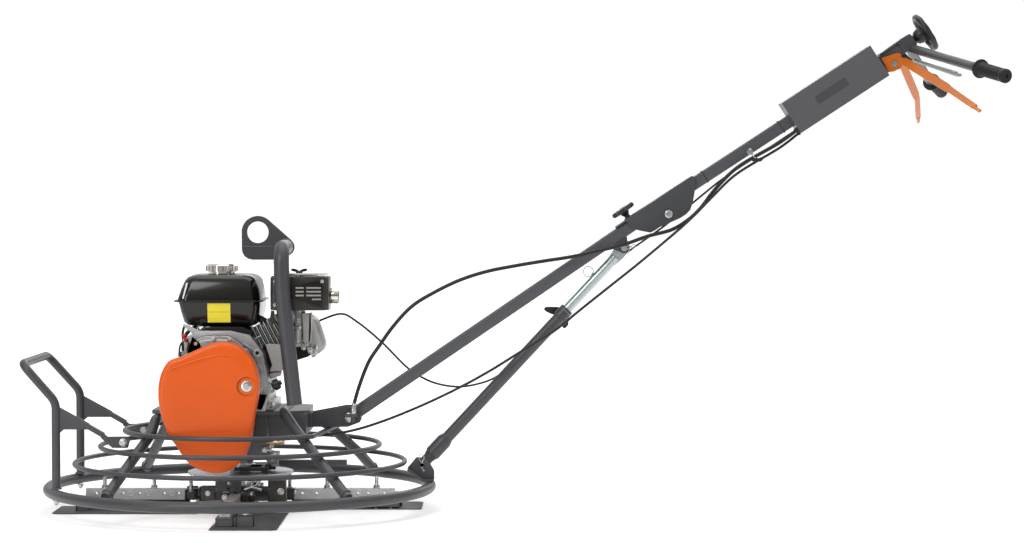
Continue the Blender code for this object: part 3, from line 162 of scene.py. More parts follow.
CAST = surface("cast_alloy", (0.40, 0.405, 0.40), 0.42, 0.80, 0.14, 26.0, 0.10, 0.45, 900.0, 0.0006,
               dust=(0.16, 0.15, 0.14), dust_amount=0.45, wear=(0.80, 0.81, 0.82), wear_amount=0.4)
CAST_DARK = surface("cast_alloy_shadowed", (0.17, 0.17, 0.17), 0.50, 0.70, 0.18, 30.0, 0.10, 0.45, 900.0, 0.0006,
                    dust=(0.07, 0.065, 0.06), dust_amount=0.5)
SHROUD = surface("shroud_alloy", (0.36, 0.345, 0.335), 0.40, 0.55, 0.08, 18.0, 0.06, 0.30, 900.0, 0.0004)
STEEL = surface("machined_steel", (0.58, 0.59, 0.61), 0.30, 1.0, 0.08, 20.0, 0.08, 0.25, 800.0, 0.0003, stretch=(1.0, 1.0, 8.0))
BLADE = surface("blade_spring_steel", (0.010, 0.011, 0.0095), 0.45, 0.10, 0.22, 10.0, 0.10, 0.20, 500.0, 0.0003, stretch=(1.0, 1.0, 1.0), spec=0.18,
                dust=(0.10, 0.10, 0.095), dust_amount=0.30, wear=(0.35, 0.36, 0.36), wear_amount=0.6)
GALV = surface("galvanised_bar", (0.46, 0.47, 0.46), 0.45, 0.70, 0.16, 60.0, 0.10, 0.25, 380.0, 0.0004,
               speck=(0.50, 0.52, 0.52), speck_scale=260.0, speck_amount=0.35, wear=(0.62, 0.64, 0.63), wear_amount=0.4)
ZINC = surface("zinc_plate", (0.46, 0.505, 0.51), 0.36, 0.92, 0.05, 18.0, 0.04, 0.0, 300.0, 0.0002)
BOLT = surface("zinc_fastener", (0.52, 0.53, 0.52), 0.28, 0.95, 0.08, 60.0, 0.06, 0.15, 900.0, 0.0002)
CHROME = surface("polished_chrome", (0.62, 0.59, 0.54), 0.12, 1.0, 0.03, 30.0, 0.03, 0.04, 500.0, 0.0002)
GLOSS = surface("gloss_black_enamel", (0.0045, 0.0042, 0.0032), 0.20, 0.0, 0.15, 8.0, 0.03, 0.03, 500.0, 0.0002, coat=0.35, coat_rough=0.06, spec=0.25)
HEAT = surface("heat_black", (0.008, 0.007, 0.0055), 0.28, 0.10, 0.20, 20.0, 0.06, 0.25, 800.0, 0.0003, coat=0.2, spec=0.3, coat_rough=0.15,
               wear=(0.10, 0.09, 0.08), wear_amount=0.5)
PLASTIC = surface("black_moulding", (0.008, 0.008, 0.0075), 0.36, 0.0, 0.2, 30.0, 0.08, 0.35, 900.0, 0.0004,
                  wear=(0.05, 0.05, 0.05), wear_amount=0.5)
RUBBER = surface("black_rubber", (0.008, 0.008, 0.0075), 0.50, 0.0, 0.2, 40.0, 0.08, 0.5, 1200.0, 0.0004, spec=0.3)
SHEATH = surface("cable_sheath", (0.010, 0.010, 0.009), 0.40, 0.0, 0.15, 60.0, 0.06, 0.2, 900.0, 0.0003, spec=0.35)
DULL = surface("dull_zinc_wire", (0.30, 0.32, 0.32), 0.36, 0.85, 0.08, 40.0, 0.06, 0.12, 700.0, 0.0003)
YELLOW_ZINC = surface("yellow_zinc_fastener", (0.50, 0.40, 0.20), 0.32, 0.95, 0.10, 60.0, 0.06, 0.15, 900.0, 0.0002)
# painted shade: this near-black fills the engine's cavities, the gaps between the cylinder fins and the boss hole; on
# the crankcase gasket it is the gasket's own dark colour
SHADE_AND_GASKET_BLACK = surface("shadowed_black_iron", (0.012, 0.010, 0.009), 0.60, 0.2, 0.25, 40.0, 0.08, 0.5, 500.0, 0.0006, spec=0.25)
BRASS = surface("brass_fitting", (0.66, 0.44, 0.16), 0.30, 1.0, 0.10, 30.0, 0.06, 0.15, 700.0, 0.0002)
# painted highlight: a pale colour for the light streak on the tank's left front corner
HIGHLIGHT_STRIPE_WHITE = surface("painted_highlight_stripe", (0.72, 0.71, 0.68), 0.35, 0.0, 0.03, 20.0, 0.05, 0.05, 600.0, 0.0002)
PATCH = surface("dark_plate", (0.045, 0.045, 0.047), 0.50, 0.0, 0.06, 12.0, 0.05, 0.10, 800.0, 0.0002)
YELLOW = surface("plain_yellow_plate", (0.78, 0.66, 0.02), 0.45, 0.0, 0.05, 20.0, 0.05, 0.08, 800.0, 0.0002)
RED = surface("red_lead", (0.45, 0.02, 0.015), 0.40, 0.0, 0.10, 40.0, 0.05, 0.10, 800.0, 0.0002)
WELD = surface("weld_bead", (0.090, 0.092, 0.100), 0.38, 0.0, 0.15, 120.0, 0.08, 0.8, 300.0, 0.0012)

# ------------------------------------------------------------------ shapes


def unit(v):
    v = np.asarray(v, float)
    return v / np.linalg.norm(v)


def box(lo, hi):
    x0, y0, z0 = lo
    x1, y1, z1 = hi
    v = [(x0, y0, z0), (x1, y0, z0), (x1, y1, z0), (x0, y1, z0), (x0, y0, z1), (x1, y0, z1), (x1, y1, z1), (x0, y1, z1)]
    f = [(3, 2, 1, 0), (4, 5, 6, 7), (0, 1, 5, 4), (1, 2, 6, 5), (2, 3, 7, 6), (3, 0, 4, 7)]
    return v, f


def prism(points, plane, a, b):
    n = len(points)

    def place(p, h):
        u, w = p
        return {"XY": (u, w, h), "XZ": (u, h, w), "YZ": (h, u, w)}[plane]

    v = [place(p, a) for p in points] + [place(p, b) for p in points]
    f = [tuple(range(n - 1, -1, -1)), tuple(range(n, 2 * n))]
    f += [(i, (i + 1) % n, n + (i + 1) % n, n + i) for i in range(n)]
    return v, f


def tube(path, r, n=16, closed=False, bore=None, profile=None):
    p = np.asarray(path, float)
    count = len(p)
    radii = [r] * count if np.isscalar(r) else list(r)
    tang = []
    for i in range(count):
        if closed:
            a, b = p[i] - p[i - 1], p[(i + 1) % count] - p[i]
        else:
            a = p[i] - p[i - 1] if i else p[1] - p[0]
            b = p[i + 1] - p[i] if i < count - 1 else p[-1] - p[-2]
        tang.append(unit(unit(a) + unit(b)))
    start = np.array([0.0, 0.0, 1.0]) if abs(tang[0][2]) < 0.9 else np.array([0.0, 1.0, 0.0])
    side = unit(np.cross(start, tang[0]))
    v, f = [], []
    shapes = [radii] + ([[bore] * count] if bore else [])
    fr = []
    for t in tang:
        side = unit(side - (side @ t) * t)
        fr.append((side, np.cross(t, side)))
    bases = []
    for rad in shapes:
        bases.append(len(v))
        for (s, u), c, rr in zip(fr, p, rad):
            for k in range(n):
                a = 2 * math.pi * (k + 0.5) / n
                v.append(tuple(c + rr * (math.cos(a) * s + math.sin(a) * u)))
    last = count if closed else count - 1
    for base, flip in zip(bases, (False, True)):
        for i in range(last):
            j = (i + 1) % count
            for k in range(n):
                m = (k + 1) % n
                q = (base + i * n + k, base + i * n + m, base + j * n + m, base + j * n + k)
                f.append(q[::-1] if flip else q)
    if not closed:
        if bore:
            e = (count - 1) * n
            for k in range(n):
                m = (k + 1) % n
                f.append((bases[0] + m, bases[0] + k, bases[1] + k, bases[1] + m))
                f.append((bases[0] + e + k, bases[0] + e + m, bases[1] + e + m, bases[1] + e + k))
        else:
            f.append(tuple(range(n - 1, -1, -1)))
            f.append(tuple((count - 1) * n + k for k in range(n)))
    return v, f


def cyl(p0, p1, r, n=24, r1=None):
    return tube([p0, p1], [r, r if r1 is None else r1], n)


def lathe(profile, origin, axis, n=40, closed=False):
    axis = unit(axis)
    ref = np.array([1.0, 0, 0]) if abs(axis[0]) < 0.9 else np.array([0, 1.0, 0])
    s = unit(np.cross(axis, ref))
    u = np.cross(axis, s)
    o = np.asarray(origin, float)
    v, f, rows = [], [], []
    for r, h in profile:
        if r < 1e-9:
            rows.append([len(v)])
            v.append(tuple(o + h * axis))
        else:
            rows.append(list(range(len(v), len(v) + n)))
            for k in range(n):
                a = 2 * math.pi * k / n
                v.append(tuple(o + h * axis + r * (math.cos(a) * s + math.sin(a) * u)))
    pairs = list(zip(rows, rows[1:])) + ([(rows[-1], rows[0])] if closed else [])
    for a, b in pairs:
        for k in range(n):
            m = (k + 1) % n
            if len(a) == 1 and len(b) == 1:
                continue
            if len(a) == 1:
                f.append((a[0], b[m], b[k]))
            elif len(b) == 1:
                f.append((a[k], a[m], b[0]))
            else:
                f.append((a[k], a[m], b[m], b[k]))
    return v, f


def fillet(points, radius, steps=8):
    p = [np.asarray(q, float) for q in points]
    out = [p[0]]
    for i in range(1, len(p) - 1):
        r = radius[i - 1] if isinstance(radius, (list, tuple)) else radius
        a, b = unit(p[i - 1] - p[i]), unit(p[i + 1] - p[i])
        angle = math.acos(max(-1, min(1, a @ b)))
        if r <= 0 or angle > math.pi - 0.02:
            out.append(p[i])
            continue
        c = p[i] + unit(a + b) * (r / math.sin(angle / 2))
        s, e = p[i] + a * r / math.tan(angle / 2), p[i] + b * r / math.tan(angle / 2)
        span = math.acos(max(-1, min(1, unit(s - c) @ unit(e - c))))
        for k in range(steps + 1):
            t = k / steps
            out.append(c + (math.sin((1 - t) * span) * (s - c) + math.sin(t * span) * (e - c)) / math.sin(span))
    out.append(p[-1])
    return out


def dense(path, spacing=0.02):
    """Extra points on the straight runs of a path."""
    out = [np.asarray(path[0], float)]
    for a, b in zip(path, path[1:]):
        a, b = np.asarray(a, float), np.asarray(b, float)
        n = max(1, int(np.linalg.norm(b - a) / spacing))
        out += [a + (b - a) * k / n for k in range(1, n + 1)]
    return out


def circle(r, z, n, start=0.0, end=2 * math.pi):
    full = abs(end - start - 2 * math.pi) < 1e-9
    count = n if full else n + 1
    return [(r * math.cos(start + (end - start) * k / n), r * math.sin(start + (end - start) * k / n), z) for k in range(count)]


def ring_at(base, axis, r, n):
    axis = unit(axis)
    s = unit(np.cross(axis, (0, 1, 0)))
    u = np.cross(axis, s)
    return [tuple(np.asarray(base) + r * (math.cos(2 * math.pi * k / n) * s + math.sin(2 * math.pi * k / n) * u)) for k in range(n)]


def along(origin, tilt, s, n, y=0.0):
    return (origin[0] + s * math.cos(tilt) - n * math.sin(tilt), y, origin[1] + s * math.sin(tilt) + n * math.cos(tilt))


def slab(origin, tilt, pts, y0, y1):
    flat = [along(origin, tilt, s, n) for s, n in pts]
    return prism([(p[0], p[2]) for p in flat], "XZ", y0, y1)


def smooth_loop(points, per=6):
    """A closed smooth curve through 2-D points."""
    p = np.asarray(points, float)
    n = len(p)
    out = []
    for i in range(n):
        a, b, c, d = p[i - 1], p[i], p[(i + 1) % n], p[(i + 2) % n]
        for k in range(per):
            t = k / per
            out.append(tuple(0.5 * ((2 * b) + (c - a) * t + (2 * a - 5 * b + 4 * c - d) * t * t + (3 * b - a - 3 * c + d) * t ** 3)))
    return out


def smooth_line(points, per=6):
    p = [np.asarray(q, float) for q in points]
    p = [2 * p[0] - p[1]] + p + [2 * p[-1] - p[-2]]
    out = []
    for i in range(1, len(p) - 2):
        a, b, c, d = p[i - 1], p[i], p[i + 1], p[i + 2]
        for k in range(per):
            t = k / per
            out.append(0.5 * ((2 * b) + (c - a) * t + (2 * a - 5 * b + 4 * c - d) * t * t + (3 * b - a - 3 * c + d) * t ** 3))
    out.append(p[-2])
    return out


def inset(points, d):
    p = [np.array(q, float) for q in points]
    n = len(p)
    area = sum(p[i][0] * p[(i + 1) % n][1] - p[(i + 1) % n][0] * p[i][1] for i in range(n))
    sign = 1.0 if area > 0 else -1.0
    out = []
    for i in range(n):
        a, b = unit(p[i] - p[i - 1]), unit(p[(i + 1) % n] - p[i])
        na, nb = np.array([-a[1], a[0]]) * sign, np.array([-b[1], b[0]]) * sign
        m = unit(na + nb)
        out.append(tuple(p[i] + m * d / max(0.5, m @ na)))
    return out


def loft(levels, cap0=True, cap1=True):
    v = [tuple(p) for level in levels for p in level]
    n = len(levels[0])
    f = []
    if cap0:
        f.append(tuple(range(n - 1, -1, -1)))
    if cap1:
        f.append(tuple(range((len(levels) - 1) * n, len(levels) * n)))
    for i in range(len(levels) - 1):
        f += [(i * n + k, i * n + (k + 1) % n, (i + 1) * n + (k + 1) % n, (i + 1) * n + k) for k in range(n)]
    return v, f


def rounded_rect(x0, x1, y0, y1, r, z, seg=6):
    out = []
    for cx, cy, a0 in ((x1 - r, y0 + r, -90), (x1 - r, y1 - r, 0), (x0 + r, y1 - r, 90), (x0 + r, y0 + r, 180)):
        for k in range(seg + 1):
            a = math.radians(a0 + 90 * k / seg)
            out.append((cx + r * math.cos(a), cy + r * math.sin(a), z))
    return out


def hex_head(base, axis, r, h, washer=0.0, thread=0.0):
    """Washer, chamfered hexagon head or nut, and a stub of thread, along an axis."""
    axis = unit(axis)
    s = unit(np.cross(axis, (0.3, 1, 0.2)))
    u = np.cross(axis, s)
    base = np.asarray(base, float)
    out = []
    z = 0.0
    if washer:
        out.append(lathe([(0, 0), (washer, 0), (washer, 0.0012), (washer * 0.93, 0.0017), (0, 0.0017)], base, axis, 24))
        z = 0.0016
    rows = []
    for rr, hh in ((r, z), (r, z + h * 0.82), (r * 0.86, z + h)):
        rows.append([tuple(base + axis * hh + rr * (math.cos(math.pi * k / 3) * s + math.sin(math.pi * k / 3) * u)) for k in range(6)])
    out.append(loft(rows))
    if thread:
        prof = [(0, z)]
        k = 0
        hh = z + h * 0.9
        while hh < z + h + thread:
            prof += [(r * 0.50, hh), (r * 0.56, hh + 0.0006)]
            hh += 0.0012
        prof += [(0, hh)]
        out.append(lathe(prof, base, axis, 14))
    return out


def cap_screw(base, axis, r, h):
    return [lathe([(0, 0), (r * 1.25, 0), (r * 1.25, h * 0.18), (r, h * 0.22), (r, h * 0.85), (r * 0.85, h), (r * 0.5, h), (r * 0.45, h * 0.55), (0, h * 0.5)],
                  base, axis, 20)]


def weld(points, r=0.0022):
    """A rippled bead along a path."""
    p = dense(points, 0.0016)
    radii = [r * (1.0 + 0.16 * math.sin(i * 2.1)) for i in range(len(p))]
    return tube(p, radii, 8)


def piece(name, shapes, mat, body, replaces=(), bevel=0.0, seg=2, angle=38, cut=(), subsurf=0, extra=None):
    """One object from closed shapes in the rotor's frame, riding on a body."""
    v, f = [], []
    for shape in shapes:
        base = len(v)
        v += [(q[0] + RX, q[1], q[2]) for q in shape[0]]
        f += [tuple(i + base for i in q) for q in shape[1]]
    mesh = bpy.data.meshes.new(name)
    mesh.from_pydata(v, [], f)
    bm = bmesh.new()
    bm.from_mesh(mesh)
    bmesh.ops.recalc_face_normals(bm, faces=bm.faces)
    bm.to_mesh(mesh)
    bm.free()
    obj = bpy.data.objects.new(name, mesh)
    bpy.context.scene.collection.objects.link(obj)
    mesh.materials.append(mat)
    mesh.shade_smooth()
    mesh.set_sharp_from_angle(angle=math.radians(angle))
    for i, tool_shape in enumerate(cut):
        tv = [(q[0] + RX, q[1], q[2]) for q in tool_shape[0]]
        tm = bpy.data.meshes.new(f"{name}_cut{i}")
        tm.from_pydata(tv, [], tool_shape[1])
        b2 = bmesh.new()
        b2.from_mesh(tm)
        bmesh.ops.recalc_face_normals(b2, faces=b2.faces)
        b2.to_mesh(tm)
        b2.free()
        tool = bpy.data.objects.new(f"{name}_cut{i}", tm)
        bpy.context.scene.collection.objects.link(tool)
        mod = obj.modifiers.new(f"cut{i}", "BOOLEAN")
        mod.object, mod.operation, mod.solver = tool, "DIFFERENCE", "EXACT"
        dg = bpy.context.evaluated_depsgraph_get()
        done = bpy.data.meshes.new_from_object(obj.evaluated_get(dg))
        obj.modifiers.clear()
        obj.data = done
        bpy.data.objects.remove(tool)
        done.shade_smooth()
        done.set_sharp_from_angle(angle=math.radians(angle))
    if bevel:
        mod = obj.modifiers.new("edge", "BEVEL")
        mod.width, mod.segments, mod.limit_method, mod.angle_limit = bevel, seg, "ANGLE", math.radians(angle)
        mod.harden_normals = False
    if subsurf:
        mod = obj.modifiers.new("fine", "SUBSURF")
        mod.levels = mod.render_levels = subsurf
    if body:
        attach(obj, body)
    if replaces:
        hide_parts(*replaces)
    return obj


def dress(node, mat, bevel=0.0, seg=2, angle=38):
    """A better material, and softened edges, on a CAD node that stays."""
    o = NODES[node]
    o.data.materials.clear()
    o.data.materials.append(mat)
    for poly in o.data.polygons:
        poly.material_index = 0
    if bevel:
        mod = o.modifiers.new("edge", "BEVEL")
        mod.width, mod.segments, mod.limit_method, mod.angle_limit = bevel, seg, "ANGLE", math.radians(angle)


# ------------------------------------------------------------------ guard frame
RING_R, RING_Z, RING_TUBE = 0.4606, 0.0540, 0.0133
piece("ring_outer_tube", [tube(circle(RING_R, RING_Z, 240), RING_TUBE, 24, closed=True)], GREY, "frame", ["outer_ring"])
piece("ring_lower_rod", [tube(circle(0.3985, 0.1140, 200), 0.0059, 14, closed=True)], GREY, "frame", ["guard_ring_lower"])
piece("ring_middle_rod", [tube(circle(0.3370, 0.1550, 180), 0.0059, 14, closed=True)], GREY, "frame", ["guard_ring_middle"])
arc = circle(0.2780, 0.1930, 140, math.radians(35), math.radians(310.5))
corner_a, corner_b = circle(0.2780, 0.1930, 1, math.radians(313), math.radians(314))[0], circle(0.2780, 0.1930, 1, math.radians(32), math.radians(33))[0]
top_loop = arc + fillet([arc[-1], corner_a, corner_b, arc[0]], [0.008, 0.008], 6)[1:-1]
piece("ring_top_rod", [tube(top_loop, 0.0059, 14, closed=True)], GREY, "frame", ["guard_ring_upper"])

leg_left = fillet([(-0.2760, -0.3450, 0.0650), (-0.1980, -0.1445, 0.1930), (-0.1930, -0.1050, 0.2240),
                   (-0.1930, 0.1050, 0.2240), (-0.1980, 0.1445, 0.1930), (-0.2760, 0.3450, 0.0650)], [0, 0.035, 0.035, 0], 8)
leg_right = fillet([(0.2808, -0.3394, 0.0620), (0.1588, -0.1826, 0.1930), (0.1150, -0.1180, 0.2430),
                    (0.1150, 0.1100, 0.2430), (0.2050, 0.1400, 0.1900), (0.2735, 0.2360, 0.1140), (0.3075, 0.3160, 0.0620)],
                   [0, 0.035, 0.040, 0.060, 0.100], 8)
piece("frame_legs", [tube(leg_left, 0.0124, 20), tube(leg_right, 0.0124, 20)], GREY, "frame", ["base_frame"])
piece("engine_plate", [prism([(-0.205, -0.075), (-0.150, -0.125), (0.120, -0.125), (0.170, -0.095), (0.170, 0.095), (0.120, 0.125),
                              (-0.150, 0.125), (-0.205, 0.075)], "XY", 0.2360, 0.2460)], GREY, "frame", bevel=0.0015)
piece("frame_skirts", [box((0.0775, -0.1180, 0.1860), (0.1680, -0.1140, 0.2400)), box((0.0775, 0.1140, 0.1860), (0.1680, 0.1180, 0.2400)),
                       box((0.1630, -0.1160, 0.1860), (0.1680, 0.1160, 0.2400))], GREY, "frame", bevel=0.0012)
piece("frame_side_panel", [box((0.0470, -0.1185, 0.1860), (0.0765, -0.1150, 0.2360))], GREY_BOX, "frame", bevel=0.001)


def at_ring(path_xy_z, r_rod, z_ring):
    return path_xy_z


# weld beads where the legs meet the rings
beads = []
for path, pts in ((leg_left, [(-0.276, -0.345, 0.065)]), (leg_right, [(0.2808, -0.3394, 0.062)])):
    pass
for cx, cy in ((-0.2600, -0.3040), (-0.2600, 0.3040)):
    pass


def bead_round(centre, axis, r, a0=0.0, a1=2 * math.pi, br=0.0020):
    axis = unit(axis)
    ref = np.array([0, 0, 1.0]) if abs(axis[2]) < 0.9 else np.array([1.0, 0, 0])
    s = unit(np.cross(axis, ref))
    u = np.cross(axis, s)
    c = np.asarray(centre, float)
    n = 28
    return weld([c + r * (math.cos(a0 + (a1 - a0) * k / n) * s + math.sin(a0 + (a1 - a0) * k / n) * u) for k in range(n + 1)], br)


for side in (-1, 1):
    beads.append(bead_round((-0.4180, side * 0.1800, 0.0676), (0, 0, 1), 0.0118))
    d = unit((0.078, side * -0.2005, 0.128))
    beads.append(bead_round(np.array([-0.2760, side * 0.3450, 0.0650]) + d * 0.012, d, 0.0132))
beads.append(bead_round(np.array([0.2808, -0.3394, 0.0620]) + unit((-0.122, 0.1568, 0.131)) * 0.013, (-0.122, 0.1568, 0.131), 0.0132))
beads.append(bead_round(np.array([0.3075, 0.3160, 0.0620]) + unit((-0.034, -0.080, 0.052)) * 0.012, (-0.034, -0.080, 0.052), 0.0132))
piece("frame_weld_beads", beads, WELD, "frame")

# ------------------------------------------------------------------ front lifting handle
PXL, PYL = -0.4180, 0.1800
lift = fillet([(PXL, -PYL, 0.0684), (PXL, -PYL, 0.2720), (-0.4980, -PYL + 0.006, 0.3620), (-0.4980, PYL - 0.006, 0.3620),
               (PXL, PYL, 0.2720), (PXL, PYL, 0.0684)], [0.045, 0.026, 0.026, 0.045], 10)
piece("lift_handle_tube", [tube(lift, 0.0102, 24)], GREY, "frame", ["front_lift_handle"])
gus = [(-0.4100, 0.2610), (-0.3380, 0.2215), (-0.3380, 0.2073), (-0.3990, 0.2073), (-0.4100, 0.1980)]
shapes, bolts = [], []
for side in (-1, 1):
    y = side * PYL
    shapes.append(prism(gus, "XZ", y - 0.0025, y + 0.0025))
    br = fillet([(-0.3560, y, 0.2235), (-0.3000, y, 0.1905), (-0.2860, y, 0.1830)], 0.02, 4)
    shapes.append(tube([(-0.3560, y, 0.2228), (-0.3050, y, 0.1935)], 0.0068, 16))
    shapes.append(prism([(-0.3080, 0.2010), (-0.2960, 0.1905), (-0.2500, 0.1910), (-0.2430, 0.1820), (-0.2480, 0.1640), (-0.2850, 0.1640), (-0.3120, 0.1880)],
                        "XZ", y - 0.0045, y + 0.0045))
    bolts += hex_head((-0.2587, y - 0.0045, 0.1767), (0, -1, 0), 0.0080, 0.0055, washer=0.0098)
    bolts += hex_head((-0.2587, y + 0.0045, 0.1767), (0, 1, 0), 0.0080, 0.0060, washer=0.0098, thread=0.003)
    bolts += hex_head((PXL, y, 0.0400), (0, 0, -1), 0.0075, 0.0060, washer=0.0090, thread=0.004)
piece("lift_handle_gussets", shapes, GREY, "frame", bevel=0.0009)
piece("lift_handle_bolts", bolts, BOLT, "frame", bevel=0.0003)

# ------------------------------------------------------------------ belt cover
outline = [(-0.1414, 0.3748), (-0.1180, 0.3819), (-0.0946, 0.3924), (-0.0712, 0.4029), (-0.0478, 0.4123), (-0.0244, 0.4158), (-0.0010, 0.4135),
           (0.0224, 0.4029), (0.0458, 0.3795), (0.0575, 0.3561), (0.0645, 0.3280), (0.0657, 0.3046), (0.0622, 0.2812), (0.0552, 0.2461), (0.0505, 0.2110),
           (0.0435, 0.1759), (0.0341, 0.1525), (0.0177, 0.1291), (-0.0057, 0.1127), (-0.0361, 0.1057), (-0.0712, 0.1127), (-0.0946, 0.1244), (-0.1133, 0.1431),
           (-0.1297, 0.1689), (-0.1461, 0.1923), (-0.1601, 0.2227), (-0.1695, 0.2578), (-0.1730, 0.2859), (-0.1718, 0.3163), (-0.1648, 0.3444), (-0.1531, 0.3655)]
out = smooth_loop(outline, 5)


def cover_level(d, y, grow=1.0):
    return [(x, y + 0.055 * max(0.0, 0.2000 - z) * min(1.0, max(0.0, d) / 0.006), z) for x, z in inset(out, d)]


def cover_centre(ring, y, share):
    cx, cz = sum(p[0] for p in ring) / len(ring), sum(p[1] for p in ring) / len(ring)
    return [(cx + (x - cx) * share, y + 0.055 * max(0.0, 0.2000 - (cz + (z - cz) * share)), cz + (z - cz) * share) for x, z in ring]


inner = inset(out, 0.0160)
outer = inset(out, 0.0125)
levels = [cover_centre(inner, -0.2178, q) for q in (0.08, 0.55, 1.0)]
levels += [cover_level(0.0120, -0.2172), cover_level(0.0062, -0.2130), cover_level(0.0036, -0.2060), cover_level(0.0036, -0.1790), cover_level(0.0004, -0.1790), cover_level(0.0004, -0.2060),
           cover_level(0.0008, -0.2110), cover_level(0.0022, -0.2155), cover_level(0.0048, -0.2186), cover_level(0.0085, -0.2203), cover_level(0.0125, -0.2210)]
levels += [cover_centre(outer, -0.2210 - 0.0008 * (1 - q), q) for q in (0.80, 0.55, 0.30, 0.08)]
recess = [lathe([(0, 0), (0.0195, 0), (0.0215, 0.0040), (0.0250, 0.0075), (0.0250, 0.0200), (0, 0.0200)], (0.0360, -0.2150, 0.3116), (0, -1, 0), 48)]
recess[0] = (recess[0][0], recess[0][1])
cover = piece("belt_cover_shell", [loft(levels)], ORANGE, "frame", ["belt_cover"], cut=[recess[0]], angle=30)
piece("belt_cover_recess", [lathe([(0, -0.0012), (0.0205, -0.0012), (0.0205, 0.0002), (0, 0.0002)], (0.0360, -0.2150, 0.3116), (0, -1, 0), 48),
                            tube([(0.0360 + 0.0248 * math.cos(a_), -0.2209, 0.3116 + 0.0248 * math.sin(a_)) for a_ in [math.radians(60 + 240 * k / 40) for k in range(41)]],
                                 [0.0004 + 0.0016 * math.sin(math.pi * k / 40) for k in range(41)], 10)], ORANGE, "frame")
ridge_line = smooth_line([(-0.1414, 0, 0.3470), (-0.1380, 0, 0.3540), (-0.1100, 0, 0.3640), (-0.0800, 0, 0.3740), (-0.0478, 0, 0.3819), (-0.0197, 0, 0.3855), (0.0080, 0, 0.3790),
                          (0.0250, 0, 0.3610), (0.0310, 0, 0.3420)], 8)
piece("belt_cover_ridge", [tube([(p[0], -0.2207, p[2]) for p in ridge_line], [0.0026 if 2 < i < len(ridge_line) - 3 else 0.0014 for i in range(len(ridge_line))], 12)],
      ORANGE, "frame")
piece("belt_cover_crease", [tube([(x, -0.2204, 0.2005) for x in np.linspace(-0.138, 0.040, 20)], [0.0004 + 0.0012 * math.sin(math.pi * k / 19) for k in range(20)], 10)],
      ORANGE, "frame")
piece("belt_cover_dimple", [lathe([(0, 0), (0.0030, 0), (0.0026, 0.0012), (0, 0.0018)], (-0.0478, -0.2208, 0.2508), (0, -1, 0), 20)], ORANGE, "frame")
piece("belt_cover_bolt", [lathe([(0, 0), (0.0128, 0), (0.0128, 0.0012), (0.0118, 0.0018), (0, 0.0018)], (0.0360, -0.2152, 0.3116), (0, -1, 0), 40)] + hex_head((0.0360, -0.2160, 0.3116), (0, -1, 0), 0.0068, 0.0050, washer=0.0130), BOLT, "frame", bevel=0.0003)
dress("belt_cover_back", GREY_BOX)

# ------------------------------------------------------------------ lifting bail and eye
bail = fillet([(0.1440, -0.1560, 0.2640), (0.1160, -0.1560, 0.5200), (0.1120, -0.1560, 0.6350), (0.1120, -0.0080, 0.6350)], [0.15, 0.045], 12)
piece("bail_tube", [tube(bail, 0.0184, 32)], GREY, "frame", ["lifting_bail"])
eye = [(0.0046, 0.6362)]
for k in range(1, 18):
    a = math.pi - (math.pi - math.radians(48)) * k / 17
    eye.append((0.0438 + 0.0395 * math.cos(a), 0.6709 + 0.0395 * math.sin(a)))
eye += [(0.1180, 0.6578), (0.1240, 0.6530), (0.1285, 0.6450), (0.1303, 0.6350), (0.1270, 0.6240), (0.1190, 0.6140), (0.1090, 0.6070), (0.0969, 0.6042),
        (0.0300, 0.6042), (0.0190, 0.6070), (0.0110, 0.6130), (0.0060, 0.6220), (0.0046, 0.6300)]
piece("eye_plate", [prism(eye[::-1], "XZ", -0.0070, 0.0006)], GREY, "frame", ["lifting_eye"], bevel=0.0012,
      cut=[cyl((0.0438, -0.03, 0.6709), (0.0438, 0.03, 0.6709), 0.0260, 64)])
piece("eye_bend", [tube([(0.0070, -0.0068, 0.6362), (0.0950, -0.0068, 0.6362)], 0.0013, 10), bead_round((0.1120, -0.0078, 0.6350), (0, 1, 0), 0.0190, br=0.0022)], WELD, "frame")

# ------------------------------------------------------------------ engine
CX, CZ = -0.0430, 0.3515
CT = math.radians(18.0)
dress("engine_block", CAST, 0.0020)
eng = []
case = [(-0.0975, 0.3950), (-0.1000, 0.4060), (-0.0880, 0.4200), (-0.0700, 0.4255), (-0.0450, 0.4270), (-0.0180, 0.4262), (-0.0020, 0.4200), (0.0180, 0.4040), (0.0360, 0.3880), (0.0500, 0.3640),
        (0.0610, 0.3300), (0.0660, 0.3000), (0.0640, 0.2780), (0.0560, 0.2660), (-0.1160, 0.2660), (-0.1300, 0.2900), (-0.1310, 0.3300), (-0.1180, 0.3650)]
ccase = smooth_loop(case, 4)
piece("crankcase_rim", [loft([[(x, -0.1318, z) for x, z in ccase], [(x, -0.1385, z) for x, z in ccase], [(x, -0.1400, z) for x, z in inset(ccase, 0.0016)]])], CAST, "frame")
step_in = inset(ccase, 0.0085)
piece("crankcase_cover", [loft([[(x, -0.1395, z) for x, z in step_in], [(x, -0.1470, z) for x, z in step_in], [(x, -0.1490, z) for x, z in inset(step_in, 0.0022)],
                                [(x, -0.1495, z) for x, z in inset(step_in, 0.0100)]])], CAST, "frame")
piece("crankcase_gasket", [loft([[(x, -0.1312, z) for x, z in inset(ccase, -0.0010)], [(x, -0.1326, z) for x, z in inset(ccase, -0.0010)]])], SHADE_AND_GASKET_BLACK, "frame")
piece("crankcase_back_wall", [prism(inset(ccase, 0.0060), "XZ", -0.1316, -0.0600)], CAST_DARK, "frame", bevel=0.002)
studs, gold = [], []
spots = [(-0.0905, 0.4085), (-0.0100, 0.4145), (0.0270, 0.3880), (0.0490, 0.3480), (0.0595, 0.3020), (-0.1205, 0.3400), (-0.1080, 0.3800), (-0.0480, 0.4190)]
for i, (x, z) in enumerate(spots):
    (gold if i in (0, 1, 3) else studs).extend([cyl((x, -0.1390, z), (x, -0.1440, z), 0.0082, 24)] if False else [])
    (gold if i in (0, 1, 3) else studs).extend(hex_head((x, -0.1470, z), (0, -1, 0), 0.0050, 0.0042, washer=0.0066))
